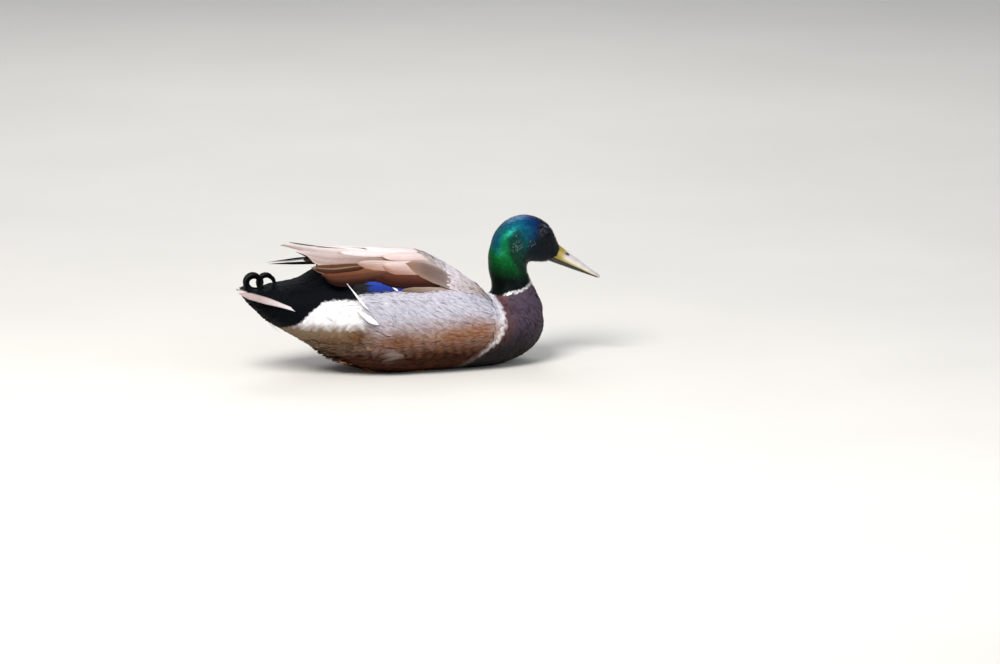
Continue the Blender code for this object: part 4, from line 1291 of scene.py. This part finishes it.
BILL_YELLOW, BILL_GLARE, BILL_EDGE = dye(146, 124, 14), dye(192, 184, 186), dye(128, 114, 40)
BILL_SIDE, NOSTRIL_SHADE, NAIL = dye(190, 180, 140), dye(4, 4, 4), dye(60, 56, 30)
UNDER_SHADE_ROOT, UNDER_SHADE_TIP = dye(46, 38, 22), dye(30, 25, 16)
horn_bill = mottled("bill_horn", 5.0, (0.9, 1.07), (0.24, 0.42), 0.12, Coat_Weight=0.25)
stations = np.concatenate([np.linspace(BILL_START, 75, 40), np.linspace(76, 85, 14), [BILL_END]])
angles = np.linspace(0, math.pi, 33)
rings, paints = [], []
for x in stations:
    half, rise = ramp(x, *BILL_HALF), ramp(x, *CULMEN)
    y = half * bow(np.cos(angles), 2 / 1.9)
    z = TOMIUM + rise * bow(np.sin(angles), 2 / 1.9)
    nostril = patch_at(x, z - TOMIUM, 40, 8.9, 2.8, 1.2)
    y = y * (1 - 0.25 * nostril)
    nail = np.exp(-(((x - 82) / 3.2) ** 2)) * np.exp(-((y / 3.2) ** 4))
    z = z + 0.7 * nail
    under = y[::-1][1:-1] * 0.97
    across = np.concatenate([y, under])
    up = np.concatenate([z, np.full_like(under, TOMIUM + 0.15)])
    rings.append(from_head(np.stack([np.full_like(across, x), across, up], axis=-1)))
    height = (z - TOMIUM) / max(rise, 0.5)
    side_share = edge(0.45 - height, 0.5) * ramp(x, (40, 0.7), (60, 0.5), (80, 0.2))
    # Painted highlight: the bill's top is painted pale over its yellow.
    tone = mix(BILL_GLARE, BILL_SIDE, side_share)
    tone = mix(tone, BILL_YELLOW, edge(35.5 - x + 3 * height, 7))
    tone = mix(tone, BILL_EDGE, edge(0.14 - height, 0.2))
    # Painted shade: the nostril's dent is painted black as its dark opening.
    tone = mix(tone, NOSTRIL_SHADE, edge(nostril - 0.35, 0.3))
    tone = mix(tone, NAIL, nail * 0.5)
    paints.append(np.concatenate([tone, np.broadcast_to(BILL_EDGE, (len(under), 3))]))
upper_bill = lofted("bill_upper_horn", rings, paints, horn_bill)
upper_bill.data.set_sharp_from_angle(angle=math.radians(60))
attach(upper_bill, "root")
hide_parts("bill_upper")
rings, paints = [], []
angles = np.linspace(0, math.pi, 25)[::-1]
for x in stations[:-6]:
    half, drop = ramp(x, *BILL_HALF) * 0.9, ramp(x, *JAW)
    y = half * bow(np.cos(angles), 2 / 2.4)
    z = TOMIUM - 0.3 - drop * bow(np.sin(angles), 2 / 2.4)
    rings.append(from_head(np.stack([np.full_like(y, x), y, z], axis=-1)))
    # The lower mandible is painted dark brown as painted shade beneath the upper.
    tone = mix(UNDER_SHADE_ROOT, UNDER_SHADE_TIP, ramp(x, (30, 0), (80, 1)))
    paints.append(np.broadcast_to(tone, (len(y), 3)))
lower_bill = lofted("bill_lower_horn", rings, paints, horn_bill)
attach(lower_bill, "root")
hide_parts("bill_lower")

# ==== The eyes ====
# Glass eyes, dark brown round a black pupil, sit deep in the head, with a thin bare lid of skin
# around each that closes on the ball.
GAZE = np.array((0.22, 1.0, 0.04))
PUPIL, IRIS, EYE_RIM = dye(1, 1, 1), dye(20, 10, 4), dye(4, 3, 3)
LID_DARK, LID_HIGHLIGHT = dye(3, 4, 5), dye(8, 9, 11)
LID_REACH, LID_THICK = 4.5, 0.62  # the lid's middle line from the gaze, and half its width, mm
glass = mottled("eye_glass", 0.8, (0.85, 1.15), (0.03, 0.06), 0.0, Specular_IOR_Level=0.28)
lid_skin = mottled("lid_skin", 0.7, (0.7, 1.2), (0.5, 0.7), 0.4)
for side_name, side in SIDES.items():
    centre = EYE_AT * (1, side, 1)
    gaze = unit(GAZE * (1, side, 1))
    right = unit(np.cross(gaze, (0, 0, 1)))
    top = np.cross(right, gaze)
    rings, paints = [], []
    b = np.linspace(0, 2 * math.pi, 48, endpoint=False)[:, None]
    rim = np.cos(b) * right + np.sin(b) * top
    for polar in np.concatenate([np.linspace(2, 40, 20), np.linspace(44, 178, 24)]):
        a = math.radians(polar)
        ring = centre + EYE_RADIUS * (math.cos(a) * gaze + math.sin(a) * rim)
        rings.append(from_head(ring))
        tone = mix(PUPIL, IRIS, edge(polar - 26, 3))
        tone = mix(tone, EYE_RIM, edge(polar - 42, 10))
        paints.append(np.broadcast_to(tone, (len(b), 3)))
    ball = lofted(f"eye_ball_{side_name}", rings[:: int(-side)], paints[:: int(-side)], glass)
    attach(ball, "root")
    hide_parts(f"eye_{side_name}")
    rings, paints = [], []
    for b in np.linspace(0, 2 * math.pi, 64, endpoint=False):
        spoke = math.cos(b) * right * 1.08 + math.sin(b) * top * (0.86 if math.sin(b) > 0 else 0.92)
        ring = []
        for c in np.linspace(0, 2 * math.pi, 12, endpoint=False):
            reach = LID_REACH + LID_THICK * math.cos(c)
            depth = EYE_RADIUS * 0.58 + 0.5 * math.sin(c) - 0.5 * math.cos(c)
            ring.append(centre + spoke * reach + gaze * depth)
        rings.append(from_head(np.array(ring)))
        # The lid's upper side is painted lighter as a painted highlight.
        tone = mix(LID_DARK, LID_HIGHLIGHT, max(math.sin(b + 0.5 * side), 0.0) ** 2)
        paints.append(np.broadcast_to(tone, (len(ring), 3)))
    rings, paints = (rings + rings[:1])[:: int(side)], (paints + paints[:1])[:: int(side)]
    lid = lofted(f"eye_lid_{side_name}", rings, paints, lid_skin, closed_ends=False)
    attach(lid, "root")

# ==== The legs and feet ====
# Webbed orange feet are folded under the belly, on shanks that leave the body in its feathers.
# Their skin is scaled, and wrinkled on the web.
FOOT_DEEP, FOOT_LIGHT = (0.55, 0.13, 0.02, 1), (0.78, 0.26, 0.05, 1)
scaled_skin, nodes = new_material("foot_skin")
where = nodes.add("ShaderNodeTexCoord").outputs["Object"]
scales = nodes.add("ShaderNodeTexVoronoi", {"Vector": where, "Scale": 420.0}).outputs["Distance"]
patches = nodes.group(mottle, Size=5.0, Low=0.0, High=1.0)
blend = {"Factor": patches["Level"], 6: FOOT_DEEP, 7: FOOT_LIGHT}
orange = nodes.add("ShaderNodeMix", blend, data_type="RGBA").outputs[2]
finish_surface(nodes, orange, nodes.ranged(scales, 0.4, 0.6), scales, bump=0.5)
for node_name in ("leg_right", "leg_left", "foot_right", "foot_left"):
    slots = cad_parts[node_name].data.materials
    for i in range(len(slots)):
        slots[i] = scaled_skin

# ==== The floor, the lights and the camera ====
# A plain pale floor, one broad soft light high on the left, a weaker one opposite, and an even
# surround. The camera looks from the drake's right side, a little behind and above.
floor_mesh = bpy.data.meshes.new("floor")
reach = 9.0
corners = [(-reach, -reach, 0), (reach, -reach, 0), (reach, reach, 0), (-reach, reach, 0)]
floor_mesh.from_pydata(corners, [], [(0, 1, 2, 3)])
floor = new_piece("floor", floor_mesh)
plain, nodes = new_material("floor_plain")
patches = nodes.group(mottle, Size=300.0, Low=0.97, High=1.02)
pale_floor = nodes.add("ShaderNodeRGB").outputs[0]
pale_floor.default_value = (0.62, 0.6, 0.57, 1)
colour = nodes.tinted(pale_floor, patches["Level"])
finish_surface(nodes, colour, nodes.ranged(patches["Grain"], 0.8, 0.9), patches["Grain"], bump=0.02)
floor_mesh.materials.append(plain)

AZIMUTH, ELEVATION = math.radians(-17), math.radians(11)
level = math.cos(ELEVATION)
toward = Vector((math.sin(AZIMUTH) * level, -math.cos(AZIMUTH) * level, math.sin(ELEVATION)))
rightward = Vector((math.cos(AZIMUTH), math.sin(AZIMUTH), 0))
upward = toward.cross(rightward)
DISTANCE, FOCAL = 11.666, 400.0
AIM_ACROSS, AIM_UP = 0.1017, 0.0355
aim = Vector((START_X, 0, 0)) + rightward * AIM_ACROSS + upward * AIM_UP
camera_data = bpy.data.cameras.new("camera")
camera_data.lens, camera_data.sensor_width = FOCAL, 36.0
camera_data.clip_end = 60.0
camera = bpy.data.objects.new("camera", camera_data)
bpy.context.scene.collection.objects.link(camera)
camera.location = aim + toward * DISTANCE
camera.rotation_euler = toward.to_track_quat("Z", "Y").to_euler()
bpy.context.scene.camera = camera


def soft_light(name, way, distance, size, power, colour=(1, 1, 1)):
    """A round soft light that way from the duck, its size and distance in metres."""
    data = bpy.data.lights.new(name, "AREA")
    data.shape, data.size, data.energy, data.color = "DISK", size, power, colour
    lamp = bpy.data.objects.new(name, data)
    bpy.context.scene.collection.objects.link(lamp)
    way = Vector(way).normalized()
    lamp.location = way * distance
    lamp.rotation_euler = way.to_track_quat("Z", "Y").to_euler()


soft_light("key_light", (-0.55, -0.6, 0.95), 2.4, 1.2, 75.0, (1.0, 0.98, 0.95))
soft_light("fill_light", (0.8, -0.7, 0.5), 2.6, 1.6, 18.0, (0.94, 0.97, 1.0))
soft_light("rim_light", (0.2, 0.9, 0.8), 2.4, 1.4, 18.0)
world = bpy.data.worlds.new("surround")
world.use_nodes = True
glow = world.node_tree.nodes["Background"].inputs
glow[0].default_value, glow[1].default_value = (0.9, 0.95, 1.0, 1), 0.42
bpy.context.scene.world = world
bpy.context.scene.view_settings.view_transform = "Standard"
